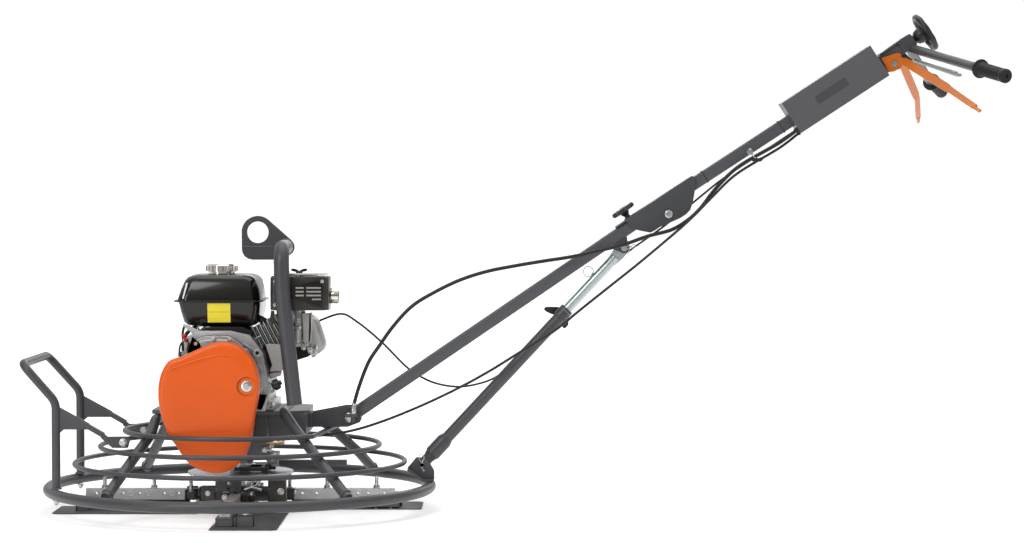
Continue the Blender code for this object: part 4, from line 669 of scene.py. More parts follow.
lugs = [lathe([(0.0088, 0.0), (0.0088, 0.0068), (0.0080, 0.0076), (0, 0.0076)], (x, -0.1395, z), (0, -1, 0), 24) for x, z in spots]
piece("crankcase_bolt_lugs", lugs, CAST, "frame")
piece("crankcase_bolts", studs, BOLT, "frame", bevel=0.0003)
piece("crankcase_gold_bolts", gold, YELLOW_ZINC, "frame", bevel=0.0003)
# governor bosses, cover webs, and painted shade: near-black blocks in the cavity between the case and the cylinder
webs = [prism([(0.0230, 0.4100), (0.0540, 0.3890), (0.0540, 0.3850), (0.0200, 0.4060)], "XZ", -0.1400, -0.1330),
        prism([(0.0560, 0.3620), (0.0680, 0.3480), (0.0650, 0.3450), (0.0530, 0.3590)], "XZ", -0.1400, -0.1330),
        prism([(0.0610, 0.3350), (0.0740, 0.3300), (0.0730, 0.3100), (0.0640, 0.2980)], "XZ", -0.1330, -0.1180),
        prism([(0.0620, 0.3000), (0.0850, 0.3060), (0.0840, 0.2880), (0.0640, 0.2760)], "XZ", -0.1280, -0.0900)]
piece("crankcase_webs", webs, CAST, "frame", bevel=0.0009)
# painted shade: near-black blocks stand in for the shadow in the gaps around the cylinder and head
dark = [prism([(-0.1080, 0.4280), (-0.0600, 0.4470), (0.0150, 0.4470), (0.0420, 0.4360), (0.0300, 0.4020), (-0.0100, 0.4200), (-0.0950, 0.4180)], "XZ", -0.1150, -0.0500),
        prism([(0.0400, 0.4200), (0.0760, 0.4440), (0.1080, 0.4300), (0.1080, 0.3400), (0.0760, 0.3180), (0.0560, 0.3400), (0.0500, 0.3700)], "XZ", -0.0640, -0.0400),
        prism([(0.1120, 0.4560), (0.1520, 0.4540), (0.1500, 0.3900), (0.1100, 0.3900)], "XZ", -0.0580, -0.0300)]
piece("engine_painted_shade_core", dark, SHADE_AND_GASKET_BLACK, "frame", bevel=0.002)
boss = [cyl((0.0553, -0.1100, 0.3865), (0.0553, -0.1500, 0.3865), 0.0070, 32)]
piece("crankcase_bosses", boss + [lathe([(0.0045, 0.0), (0.0100, 0.0), (0.0100, 0.0070), (0.0090, 0.0078), (0.0050, 0.0078), (0.0045, 0.0070)], (0.0553, -0.1480, 0.3865), (0, -1, 0), 36, closed=True)],
      CAST, "frame", bevel=0.0005)
# painted shade: a near-black disc stands for the shadow inside the boss's hole
piece("crankcase_boss_hole", [cyl((0.0553, -0.1495, 0.3865), (0.0553, -0.1512, 0.3865), 0.0044, 24)], SHADE_AND_GASKET_BLACK, "frame")

# finned cylinder: core, thin rounded fins and the head's edge


def fin(s0, t, n0, n1, y0, y1, r=0.010):
    rows = []
    for s in (s0, s0 + t):
        rr = rounded_rect(n0, n1, y0, y1, r, 0.0, 4)
        rows.append([along((CX, CZ), CT, s, a, b) for a, b, _ in rr])
    return loft(rows)


FT = math.radians(27.0)


def fin_at(s0, t, n0, n1, y0, y1, r=0.010):
    rows = []
    for s in (s0, s0 + t):
        rows.append([along((CX, CZ), FT, s, a, b) for a, b, _ in rounded_rect(n0, n1, y0, y1, r, 0.0, 4)])
    return loft(rows)


fins = [slab((CX, CZ), CT, [(0.1900, -0.040), (0.2130, -0.040), (0.2130, 0.041), (0.1900, 0.041)], -0.046, 0.046)]
for k in range(13):
    s = 0.0830 + 0.0098 * k
    top = 0.0440 + 0.0006 * k
    low = (0.0180, 0.0140, -0.0040, -0.0100, -0.0140, -0.0180, -0.0220, -0.0260, -0.0300, -0.0340, -0.0340, -0.0340, -0.0300)[k]
    fins.append(fin_at(s, 0.0021, low, top, -0.0880 if k < 9 else -0.0720, 0.0620, 0.006))
    fins.append(fin_at(s + 0.0049, 0.0014, low + 0.004, top - 0.006, -0.0800 if k < 9 else -0.0660, 0.0560, 0.006))
piece("finned_cylinder", fins, CAST, "frame", ["cylinder_head"], bevel=0.0003, seg=1)
# painted shade: the core under the fins is near-black so that the gaps between the fins read dark
piece("cylinder_core", [slab((CX, CZ), FT, [(0.060, -0.036), (0.2050, -0.036), (0.2050, 0.034), (0.060, 0.034)], -0.0620, 0.0500),
                        slab((CX, CZ), CT, [(0.1600, -0.046), (0.2100, -0.046), (0.2100, 0.044), (0.1600, 0.044)], -0.050, 0.048)], SHADE_AND_GASKET_BLACK, "frame", bevel=0.002)
ladder = []
for k in range(3):
    ladder.append(fin_at(0.0790 + 0.0098 * k, 0.0060, 0.0010, 0.0150, -0.0950, -0.0850, 0.002))
piece("push_rod_ribs", ladder + [slab((CX, CZ), FT, [(0.0700, 0.0180), (0.1250, 0.0180), (0.1250, 0.0210), (0.0700, 0.0210)], -0.0950, -0.0840)], CAST, "frame", bevel=0.0005)
s_end = 0.2142
vc = []
for s, g in ((s_end + 0.0004, 0.0), (s_end + 0.0060, 0.0), (s_end + 0.0064, 0.0030), (s_end + 0.0200, 0.0050), (s_end + 0.0310, 0.0090), (s_end + 0.0380, 0.0160), (s_end + 0.0408, 0.0260)):
    rr = rounded_rect(-0.0520 + g, 0.0525 - g, -0.0475 + g, 0.0475 - g, 0.012, 0.0, 5)
    vc.append([along((CX, CZ), CT, s, a, b) for a, b, _ in rr])
piece("valve_cover_shell", [loft(vc)], CAST, "frame", ["valve_cover"], angle=30)
vb = []
for a, b in ((-0.044, -0.040), (0.0445, -0.040), (-0.044, 0.040), (0.0445, 0.040)):
    vb += hex_head(along((CX, CZ), CT, s_end + 0.0060, a, b), (math.cos(CT), 0, math.sin(CT)), 0.0050, 0.0046, washer=0.0062)
piece("valve_cover_bolts", vb, BOLT, "frame", bevel=0.0003)
# grey shroud and its strap on the near side
piece("cylinder_shroud", [prism([(0.0699, 0.4037), (0.0760, 0.4055), (0.1046, 0.4049), (0.1120, 0.4040), (0.1120, 0.3460), (0.1094, 0.3403), (0.0807, 0.3380), (0.0800, 0.3430), (0.0855, 0.3547), (0.0780, 0.3780)], "XZ", -0.1010, -0.0950),
                          prism([(0.0820, 0.3360), (0.1094, 0.3390), (0.1060, 0.3290), (0.0850, 0.3236), (0.0780, 0.3270)], "XZ", -0.0980, -0.0900)],
      SHROUD, "frame", bevel=0.0012)
piece("shroud_fold", [prism([(0.0760, 0.4055), (0.1120, 0.4049), (0.1120, 0.4000), (0.0770, 0.4000)], "XZ", -0.0960, -0.0600)], SHROUD, "frame", bevel=0.001)
left_plate = [(-0.1249, 0.4550), (-0.1106, 0.4500), (-0.0652, 0.4276), (-0.0720, 0.4235), (-0.0914, 0.4190), (-0.1000, 0.4270), (-0.1060, 0.4336), (-0.1240, 0.4480)]
piece("tank_stay", [prism(left_plate[::-1], "XZ", -0.1160, -0.1125)] + [lathe([(0, 0), (0.0042, 0), (0.0038, 0.0030), (0, 0.0034)], (-0.0850, -0.1160, 0.4290), (0, -1, 0), 20)], CAST, "frame", bevel=0.0006)
piece("lead_bundle", [tube(smooth_line([(-0.1220, -0.1120, 0.4500), (-0.1260, -0.1140, 0.4300), (-0.1230, -0.1180, 0.4060), (-0.1180, -0.1240, 0.3900), (-0.1210, -0.1290, 0.3700)], 6), 0.0030, 10),
                      tube(smooth_line([(-0.1000, -0.1150, 0.4280), (-0.1080, -0.1240, 0.4160), (-0.1100, -0.1320, 0.4000), (-0.1110, -0.1400, 0.3850)], 6), 0.0034, 10),
                      tube(smooth_line([(-0.1180, -0.1200, 0.4180), (-0.1290, -0.1260, 0.4060), (-0.1320, -0.1300, 0.3880), (-0.1280, -0.1330, 0.3720)], 6), 0.0022, 8),
                      box((-0.1260, -0.1290, 0.3960), (-0.1130, -0.1190, 0.4060))], RUBBER, "frame")
piece("lead_plug", [lathe([(0, 0), (0.0055, 0), (0.0062, 0.002), (0.0062, 0.009), (0.0045, 0.011), (0, 0.011)], (-0.1177, -0.1220, 0.4145), (0.3, -0.9, 0.2), 16),
                    box((-0.1215, -0.1260, 0.4150), (-0.1140, -0.1200, 0.4215))], RED, "frame", bevel=0.0006)
fit_ = []
for (x, y, z), ax, r, h in (((-0.1290, -0.1200, 0.3800), (-0.6, -0.8, 0), 0.0060, 0.0060), ((-0.1250, -0.1260, 0.3640), (-0.3, -1, 0), 0.0048, 0.0050), ((-0.1330, -0.1180, 0.3560), (-1, -0.4, 0), 0.0052, 0.0060)):
    fit_ += hex_head((x, y, z), ax, r, h, washer=r * 1.25)
piece("left_case_fittings", fit_ + [box((-0.1320, -0.1220, 0.3500), (-0.1200, -0.1100, 0.3880))], BOLT, "frame", bevel=0.0005)
piece("exhaust_pipe", [tube(fillet([(0.1500, -0.0700, 0.4000), (0.1520, -0.0720, 0.4700), (0.1500, -0.0860, 0.4960)], 0.02, 6), 0.0130, 24),
                       prism([(0.128, 0.3960), (0.172, 0.4000), (0.170, 0.4070), (0.128, 0.4040)], "XZ", -0.090, -0.055)], CAST, "frame", bevel=0.0008)
piece("head_lug", [prism([(0.1570, 0.4790), (0.1790, 0.4790), (0.1800, 0.4400), (0.1770, 0.4080), (0.1640, 0.4040), (0.1600, 0.4100), (0.1590, 0.4400)], "XZ", -0.0980, -0.0930),
                   prism([(0.1740, 0.4790), (0.1800, 0.4790), (0.1800, 0.4400), (0.1770, 0.4080), (0.1720, 0.4080)], "XZ", -0.0980, -0.0640)],
      SHROUD, "frame", bevel=0.0012)
lugnuts = []
for x, y, z in ((0.1500, -0.0960, 0.4460), (0.1600, -0.0940, 0.3960), (0.1760, -0.0940, 0.3900), (0.1880, -0.0700, 0.3860)):
    lugnuts += hex_head((x, y, z), (0, -1, 0), 0.0050, 0.0046, washer=0.0064, thread=0.003)
piece("head_small_nuts", lugnuts + [cyl((0.1500, -0.0960, 0.4460), (0.1500, -0.0600, 0.4460), 0.0030, 12), cyl((0.1600, -0.0940, 0.3960), (0.1600, -0.0600, 0.3960), 0.0045, 12),
                                    cyl((0.1760, -0.0940, 0.3900), (0.1760, -0.0600, 0.3960), 0.0045, 12), cyl((0.1880, -0.0700, 0.3860), (0.1880, -0.0500, 0.3960), 0.0045, 12)], BOLT, "frame", bevel=0.0003)
piece("spark_plug_cap", [tube(fillet([(0.0700, -0.0740, 0.4560), (0.0560, -0.0760, 0.4640), (0.0480, -0.0640, 0.4660)], 0.008, 5), 0.0085, 20),
                         tube(smooth_line([(0.0480, -0.0640, 0.4660), (0.0250, -0.0300, 0.4580), (-0.0200, 0.0100, 0.4440), (-0.0400, 0.0600, 0.4380)], 6), 0.0032, 10)],
      RUBBER, "frame")
piece("fuel_hose", [tube(smooth_line([(-0.0900, -0.0800, 0.4520), (-0.1050, -0.1000, 0.4420), (-0.1180, -0.1180, 0.4300), (-0.1230, -0.1270, 0.4120), (-0.1240, -0.1290, 0.3900)], 6), 0.0035, 10),
                    tube(smooth_line([(-0.1080, -0.1050, 0.4380), (-0.1160, -0.1200, 0.4250), (-0.1120, -0.1340, 0.4130)], 6), 0.0022, 8)], RUBBER, "frame")
piece("oil_sensor_lead", [tube(smooth_line([(-0.1180, -0.1340, 0.4200), (-0.1240, -0.1360, 0.4260), (-0.1160, -0.1360, 0.4290)], 5), 0.0028, 8)], RED, "frame")
dress("carburettor", CAST_DARK, 0.0015)

# muffler and guard
dress("muffler", CHROME, 0.004, 3)
g0, g1 = (0.0835, -0.1320, 0.4850), (0.2240, -0.0420, 0.5735)
lv = []
for d, z in ((0.004, 0.4850), (0.0006, 0.4880), (0.0002, 0.5300), (0.0006, 0.5640), (0.0040, 0.5705), (0.0100, 0.5732)):
    lv.append(rounded_rect(g0[0] + d, g1[0] - d, g0[1] + d, g1[1] - d, 0.012, z, 5))
slots = []
for i, z in enumerate((0.5400, 0.5310, 0.5220)):
    slots.append(box((0.1440, -0.1500, z - 0.0022), (0.1640, -0.1200, z + 0.0022)))
    slots.append(box((0.1690, -0.1500, z - 0.0022), (0.2050, -0.1200, z + 0.0022)))
slots.append(box((0.1830, -0.1500, 0.5108), (0.2050, -0.1200, 0.5148)))
inner = [rounded_rect(g0[0] + 0.0022, g1[0] - 0.0022, g0[1] + 0.0022, g1[1] - 0.0022, 0.010, z, 5) for z in (0.4800, 0.5708)]
piece("muffler_guard_shell", [loft(lv)], HEAT, "frame", ["muffler_guard"], cut=[loft(inner), cyl((0.2000, -0.0900, 0.5200), (0.2400, -0.0900, 0.5200), 0.0205, 32)] + slots, angle=30)
piece("muffler_outlet", [lathe([(0.0150, 0.2300), (0.0150, 0.2440), (0.0165, 0.2450), (0.0185, 0.2445), (0.0190, 0.2400), (0.0190, 0.2250), (0.0170, 0.2200), (0.0150, 0.2200)], (0, -0.0900, 0.5200), (1, 0, 0), 40, closed=True)],
      CHROME, "frame")
piece("muffler_guard_screws", cap_screw((0.2080, -0.1320, 0.5560), (0, -1, 0), 0.0035, 0.003) + cap_screw((0.0960, -0.1320, 0.5560), (0, -1, 0), 0.0035, 0.003)
      + cap_screw((0.0960, -0.1320, 0.5000), (0, -1, 0), 0.0035, 0.003), BOLT, "frame")
piece("muffler_bracket", [prism([(0.0860, 0.4860), (0.0940, 0.4860), (0.0960, 0.4560), (0.0880, 0.4520), (0.0830, 0.4620)], "XZ", -0.1300, -0.1260)], HEAT, "frame", bevel=0.0006)

# air cleaner
ac = []
for d, z in ((0.010, 0.4960), (0.002, 0.5010), (0.000, 0.5180), (0.000, 0.5380), (0.004, 0.5440), (0.004, 0.5500), (0.010, 0.5620), (0.020, 0.5685), (0.034, 0.5700)):
    ac.append(rounded_rect(0.0835 + d, 0.1955 - d, 0.0005 + d, 0.1055 - d, 0.016, z, 5))
piece("air_cleaner_cover", [loft(ac)], PLASTIC, "frame", ["air_cleaner"], angle=28)
wn = [lathe([(0, 0.5690), (0.0080, 0.5690), (0.0080, 0.5740), (0.0055, 0.5765), (0, 0.5765)], (0.1390, 0.0530, 0), (0, 0, 1), 20)]
for sx in (-1, 1):
    wn.append(prism(smooth_loop([(0.1390 + sx * 0.003, 0.5730), (0.1390 + sx * 0.010, 0.5735), (0.1390 + sx * 0.0185, 0.5760), (0.1390 + sx * 0.0190, 0.5805), (0.1390 + sx * 0.012, 0.5810),
                                 (0.1390 + sx * 0.003, 0.5775)], 4), "XZ", 0.0505, 0.0555))
piece("air_cleaner_wing_nut", wn, PLASTIC, "frame", bevel=0.0006)

# tank
tk = []
for x0, x1, y0, y1, c, z in ((-0.1000, 0.0300, -0.0860, 0.0660, 0.016, 0.4461), (-0.1180, 0.0440, -0.0990, 0.0800, 0.020, 0.4500), (-0.1262, 0.0505, -0.1060, 0.0860, 0.024, 0.4580),
                             (-0.1331, 0.0554, -0.1120, 0.0920, 0.026, 0.4819), (-0.1370, 0.0568, -0.1145, 0.0948, 0.026, 0.5000), (-0.1392, 0.0572, -0.1152, 0.0952, 0.026, 0.5058)):
    tk.append(rounded_rect(x0, x1, y0, y1, c, z, 7))
piece("tank_lower_shell", [loft(tk)], GLOSS, "frame", ["fuel_tank"], angle=30)
tu = []
for x0, x1, y0, y1, c, z in ((-0.1402, 0.0562, -0.1152, 0.0950, 0.026, 0.5098), (-0.1395, 0.0556, -0.1145, 0.0945, 0.026, 0.5150), (-0.1330, 0.0528, -0.1100, 0.0900, 0.026, 0.5350),
                             (-0.1245, 0.0486, -0.1040, 0.0840, 0.026, 0.5560), (-0.1180, 0.0420, -0.0985, 0.0785, 0.026, 0.5640), (-0.1060, 0.0310, -0.0880, 0.0680, 0.024, 0.5692),
                             (-0.0860, 0.0120, -0.0700, 0.0500, 0.022, 0.5703)):
    tu.append(rounded_rect(x0, x1, y0, y1, c, z, 7))
piece("tank_upper_shell", [loft(tu)], GLOSS, "frame", angle=30)
fl = [rounded_rect(-0.1490, 0.0644, -0.1225, 0.1005, 0.028, z, 7) for z in (0.5060, 0.5098)]
piece("tank_seam_flange", [loft(fl)], GLOSS, "frame", bevel=0.0008)
# painted highlight: a thin pale sliver on the tank's left front corner stands for the key light's streak
piece("tank_painted_highlight", [prism([(-0.1270, 0.5135), (-0.1235, 0.5135), (-0.1130, 0.5520), (-0.1170, 0.5515)], "XZ", -0.1146, -0.1100)], HIGHLIGHT_STRIPE_WHITE, "frame")
piece("tank_plain_plate", [loft([[(-0.0669, -0.1150, 0.5030), (-0.0122, -0.1150, 0.5030), (-0.0122, -0.1080, 0.5030), (-0.0669, -0.1080, 0.5030)],
                                 [(-0.0669, -0.1113, 0.4770), (-0.0122, -0.1113, 0.4770), (-0.0122, -0.1050, 0.4770), (-0.0669, -0.1050, 0.4770)],
                                 [(-0.0669, -0.1066, 0.4570), (-0.0122, -0.1066, 0.4570), (-0.0122, -0.0980, 0.4570), (-0.0669, -0.0980, 0.4570)]])], YELLOW, "frame", bevel=0.0002)
piece("tank_neck", [lathe([(0.0300, 0.5690), (0.0340, 0.5690), (0.0320, 0.5715), (0.0300, 0.5715)], (-0.0430, -0.0100, 0), (0, 0, 1), 40, closed=True)], GLOSS, "frame")
capo = []
prof = [(0.0000, 0.5938), (0.0230, 0.5942), (0.0330, 0.5936), (0.0372, 0.5915)]
capm = [lathe([(0, 0.5712), (0.0335, 0.5712), (0.0335, 0.5760), (0.0372, 0.5765), (0.0372, 0.5905), (0.0340, 0.5935), (0.0240, 0.5942), (0, 0.5944)], (-0.0430, -0.0100, 0), (0, 0, 1), 60)]
for k in range(18):
    a = 2 * math.pi * k / 18
    capm.append(tube([(-0.0430 + 0.0372 * math.cos(a), -0.0100 + 0.0372 * math.sin(a), 0.5775), (-0.0430 + 0.0372 * math.cos(a), -0.0100 + 0.0372 * math.sin(a), 0.5895)], [0.0017, 0.0015], 8))
piece("fuel_cap_fluted", capm, CHROME, "tank_cap", ["fuel_cap"])

dress("recoil_housing", PLASTIC, 0.0015)
vents = []
for k in range(24):
    a = 2 * math.pi * k / 24
    c, s_ = math.cos(a), math.sin(a)
    vents.append(tube([(CX + 0.044 * c, 0.1722, CZ + 0.044 * s_), (CX + 0.066 * c, 0.1722, CZ + 0.066 * s_)], 0.0022, 8))
piece("recoil_ribs", vents + [lathe([(0, 0.1715), (0.0300, 0.1715), (0.0290, 0.1728), (0, 0.1732)], (CX, 0, CZ), (0, 1, 0), 40)], PLASTIC, "frame")
piece("recoil_screws", [s for k in range(4) for s in cap_screw((CX + 0.097 * math.cos(0.6 + k * 1.571), 0.1580, CZ + 0.097 * math.sin(0.6 + k * 1.571)), (0, 1, 0), 0.004, 0.004)], BOLT, "frame")
dress("recoil_grip", PLASTIC, 0.003, 3)
dress("crankshaft", STEEL)
for n in ("driven_pulley", "drive_pulley", "worm_shaft", "output_shaft"):
    dress(n, STEEL)
dress("drive_belt", RUBBER)
dress("worm_wheel", BRASS)
nd = (math.cos(math.radians(27)), 0, math.sin(math.radians(27)))


def nk(d, y=-0.1080):
    return (0.0500 + d * nd[0], y, 0.2850 + d * nd[2])


capd = [lathe([(0, 0.0420), (0.0085, 0.0420), (0.0090, 0.0445), (0.0125, 0.0455), (0.0125, 0.0560), (0.0115, 0.0600), (0.0060, 0.0610), (0.0055, 0.0655), (0, 0.0660)], nk(0), nd, 36)]
s1 = unit(np.cross(nd, (0, 1, 0)))
for k in range(10):
    a = 2 * math.pi * k / 10
    off = 0.0121 * (math.cos(a) * s1 + math.sin(a) * np.array([0, 1, 0]))
    capd.append(tube([tuple(np.array(nk(0.0462)) + off), tuple(np.array(nk(0.0555)) + off)], 0.0012, 6))
piece("dipstick_cap", capd + [cyl(nk(-0.02), nk(0.0440), 0.0028, 12)], PLASTIC, "oil_dipstick", ["dipstick"])
piece("oil_neck_collar", [lathe([(0.0060, 0.030), (0.0128, 0.030), (0.0132, 0.034), (0.0128, 0.0412), (0.0060, 0.0412)], nk(0), nd, 30, closed=True)], CAST, "frame")
feet = []
for x, y in ((-0.1100, -0.0850), (0.0720, -0.0850), (-0.1100, 0.0850), (0.0720, 0.0850)):
    feet += hex_head((x, y, 0.2662), (0, 0, 1), 0.0075, 0.0060, washer=0.0110, thread=0.003)
piece("engine_foot_bolts", feet, BOLT, "frame", bevel=0.0003)
piece("drain_plug", hex_head((0.0835, -0.1180, 0.2620), (0.9, -0.3, 0), 0.0070, 0.0080, washer=0.0090) + hex_head((0.0600, -0.1330, 0.2580), (0, -1, 0), 0.0070, 0.0070, washer=0.0090), BOLT, "frame", bevel=0.0004)

# ------------------------------------------------------------------ gearbox and rotor
dress("gearbox_housing", CAST_DARK, 0.002)
dress("gearbox_cover", CAST, 0.001)
gb = []
for k in range(6):
    a = 2 * math.pi * k / 6 + 0.3
    gb += hex_head((0.064 * math.cos(a), 0.064 * math.sin(a), 0.1280), (0, 0, -1), 0.0052, 0.0045, washer=0.0065)
piece("gearbox_cover_bolts", gb, BOLT, "frame", bevel=0.0003)
piece("gearbox_nipple", [lathe([(0, 0), (0.0045, 0), (0.0045, 0.0060), (0.0024, 0.0070), (0.0024, 0.0100), (0.0036, 0.0115), (0.0030, 0.0150), (0, 0.0155)], (0.0720, -0.0800, 0.1715), (1, 0, 0), 20)], BRASS, "frame")
piece("gearbox_plug", hex_head((0.0722, -0.0900, 0.1600), (1, 0, 0), 0.0070, 0.0060, washer=0.0090), BOLT, "frame", bevel=0.0003)
rods = [tube([(-0.0100, -0.2020, 0.1010), (0.0600, -0.1900, 0.1040), (0.1150, -0.1700, 0.1080)], 0.0052, 16),
        tube([(0.1150, -0.1700, 0.1080), (0.1230, -0.1680, 0.1085)], 0.0075, 16)]
elbow = [tube(smooth_line([(0.0640, -0.1180, 0.1560), (0.0760, -0.1240, 0.1530), (0.0900, -0.1250, 0.1500), (0.0960, -0.1250, 0.1420)], 6), 0.0036, 12)]
for x, z in ((0.0700, 0.1540), (0.0960, 0.1440)):
    elbow += hex_head((x, -0.1280, z), (0, -1, 0), 0.0056, 0.0050, washer=0.0070)
piece("grease_line_fittings", elbow, BOLT, "frame", bevel=0.0003)
piece("grease_nipple_near", [lathe([(0, 0), (0.0050, 0), (0.0050, 0.0050), (0.0034, 0.0056), (0.0034, 0.0110), (0.0044, 0.0120), (0.0044, 0.0160), (0.0026, 0.0175), (0, 0.0180)], (0.1000, -0.1260, 0.1710), (1, 0, 0.05), 20),
                             tube([(0.0740, -0.1240, 0.1700), (0.1010, -0.1260, 0.1710)], 0.0030, 12)], BRASS, "frame")
hub = [lathe([(0.0060, 0), (0.0150, 0), (0.0160, 0.0020), (0.0160, 0.0075), (0.0140, 0.0095), (0.0060, 0.0095)], (0.0880, -0.1200, 0.1360), (0, -1, 0), 36, closed=True)]
piece("gearbox_side_boss", hub + [box((0.0760, -0.1205, 0.1200), (0.1000, -0.1000, 0.1500))], CAST_DARK, "frame", bevel=0.0010)
piece("gearbox_side_boss_bolt", hex_head((0.0880, -0.1290, 0.1360), (0, -1, 0), 0.0062, 0.0050, washer=0.0078), BOLT, "frame", bevel=0.0003)
dress("rotor_spider", GREY, 0.0012)
dress("thrust_plate", STEEL, 0.0008)
dress("pitch_yoke", GREY, 0.0012)


def turn(shape, k):
    c, s = [(1, 0), (0, 1), (-1, 0), (0, -1)][k]
    return [(x * c - y * s, x * s + y * c, z) for x, y, z in shape[0]], shape[1]


AZ = 0.0355
for k in range(4):
    body = f"arm_{k + 1}"
    bar = [box((-0.0125, -0.3750, 0.0225), (0.0125, -0.1300, 0.0490))]
    holes = [turn(cyl((-0.03, y, 0.0370), (0.03, y, 0.0370), 0.0038, 20), k) for y in (-0.150, -0.185, -0.245, -0.285, -0.310, -0.350)]
    piece(f"arm_bar_{k + 1}", [turn(s, k) for s in bar], GALV, body, [f"trowel_arm_{k + 1}"], bevel=0.0016, cut=holes)
    fix = [turn(cyl((0, -0.1350, AZ), (0, -0.0450, AZ), 0.0118, 28), k)]
    piece(f"arm_shaft_{k + 1}", fix, STEEL, body)
    blk = [box((-0.0135, -0.1300, 0.0215), (0.0135, -0.1020, 0.0495)), box((0.0060, -0.1260, 0.0260), (0.0460, -0.1060, 0.0440))]
    piece(f"arm_block_{k + 1}", [turn(s, k) for s in blk], PLASTIC if k == 9 else HEAT, body, bevel=0.0018)
    stud = hex_head((0.0380, -0.1160, 0.0440), (0, 0, 1), 0.0062, 0.0060) + [lathe([(0, 0.050), (0.0045, 0.050), (0.0045, 0.0800), (0.0030, 0.0832), (0, 0.0835)], (0.0380, -0.1160, 0), (0, 0, 1), 20)]
    for y in (-0.2100, -0.3300) if k else ():
        stud += hex_head((0, y, 0.0490), (0, 0, 1), 0.0078, 0.0068, washer=0.0100)
        stud += [lathe([(0, 0.055)] + [(0.0048 if i % 2 else 0.0043, 0.0570 + 0.0009 * i) for i in range(22)] + [(0, 0.0778)], (0, y, 0), (0, 0, 1), 16)]
    stud += hex_head((0.0135, -0.1160, 0.0355), (1, 0, 0), 0.0060, 0.0045) if k == 9 else []
    piece(f"arm_studs_{k + 1}", [turn(s, k) for s in stud], BOLT, body, bevel=0.0003)
    pl = [prism([(-0.0300, -0.4350), (-0.0250, -0.4400), (0.1150, -0.4400), (0.1250, -0.4300), (0.1250, -0.0950), (0.1150, -0.0850), (-0.0250, -0.0850), (-0.0300, -0.0900)], "XY", 0.0, 0.0025)]
    piece(f"blade_plate_{k + 1}", [turn(s, k) for s in pl], BLADE, body, [f"blade_{k + 1}"], bevel=0.0006)
    bk = [prism([(-0.0200, -0.3850), (-0.0200, -0.1250), (0.0200, -0.1250), (0.0200, -0.3850)], "XY", 0.0025, 0.0062),
          box((-0.0200, -0.3850, 0.0025), (-0.0170, -0.1250, 0.0218)), box((0.0170, -0.3850, 0.0025), (0.0200, -0.1250, 0.0218)),
          box((-0.0200, -0.3850, 0.0185), (0.0200, -0.1250, 0.0218)), box((-0.0185, -0.3835, 0.0030), (0.0185, -0.3700, 0.0210))]
    piece(f"blade_rail_{k + 1}", [turn(s, k) for s in bk], BLADE, body, bevel=0.0008)
    eb = [box((0.0286, -0.3900, 0.0020), (0.0690, -0.3860, 0.0290)), box((0.0286, -0.3900, 0.0020), (0.0312, -0.3600, 0.0290)), box((0.0664, -0.3900, 0.0020), (0.0690, -0.3600, 0.0290)),
          box((0.0286, -0.3900, 0.0262), (0.0690, -0.3600, 0.0290)), prism([(0.0200, -0.3800), (0.0300, -0.3800), (0.0300, -0.3650), (0.0200, -0.3650)], "XY", 0.0030, 0.0200)]
    piece(f"blade_end_bracket_{k + 1}", [turn(s, k) for s in eb], BLADE, body, bevel=0.0006)
    piece(f"blade_end_nut_{k + 1}", [turn(s, k) for s in hex_head((0.0488, -0.3760, 0.0290), (0, 0, 1), 0.0075, 0.0060, washer=0.0100)], BOLT, body, bevel=0.0003)
    rv = []
    for y in (-0.150, -0.210, -0.270, -0.330, -0.365):
        for x in (0.0300, -0.0250):
            rv.append(lathe([(0.0036, 0.0024), (0.0036, 0.0032), (0.0020, 0.0040), (0, 0.0042)], (x, y, 0), (0, 0, 1), 14))
    piece(f"blade_rivets_{k + 1}", [turn(s, k) for s in rv], GALV, body)

plate_cut = [cyl((-0.0122, -0.2, 0.0760), (-0.0122, -0.1, 0.0760), 0.0046, 24), cyl((-0.0150, -0.2, 0.0640), (-0.0150, -0.1, 0.0640), 0.0040, 24), cyl((0.0060, -0.2, 0.0640), (0.0060, -0.1, 0.0640), 0.0022, 18)]
piece("rotor_front_plate", [prism([(-0.0460, 0.0562), (-0.0460, 0.0830), (-0.0420, 0.0870), (0.0120, 0.0870), (0.0160, 0.0830), (0.0160, 0.0562)], "XZ", -0.1460, -0.1420)], GREY, "rotor", bevel=0.0008, cut=plate_cut)
piece("rotor_front_blocks", [box((-0.0800, -0.1410, 0.0360), (-0.0480, -0.1200, 0.0690)), box((0.0787, -0.1410, 0.0300), (0.1218, -0.1100, 0.0830)), box((-0.0600, -0.1415, 0.0562), (0.0900, -0.1394, 0.0640))],
      HEAT, "rotor", bevel=0.0018)
piece("rotor_front_bolts", hex_head((0.1090, -0.1410, 0.0560), (0, -1, 0), 0.0066, 0.0050, washer=0.0086) + hex_head((-0.0640, -0.1410, 0.0520), (0, -1, 0), 0.0050, 0.0040, washer=0.0066)
      + [tube([(0.0300, -0.1480, 0.0650), (0.0520, -0.1500, 0.0720), (0.0660, -0.1480, 0.0900)], 0.0030, 12), tube([(0.0240, -0.1460, 0.0620), (0.0420, -0.1500, 0.0670), (0.0640, -0.1470, 0.0600)], 0.0042, 14)],
      BOLT, "rotor", bevel=0.0003)
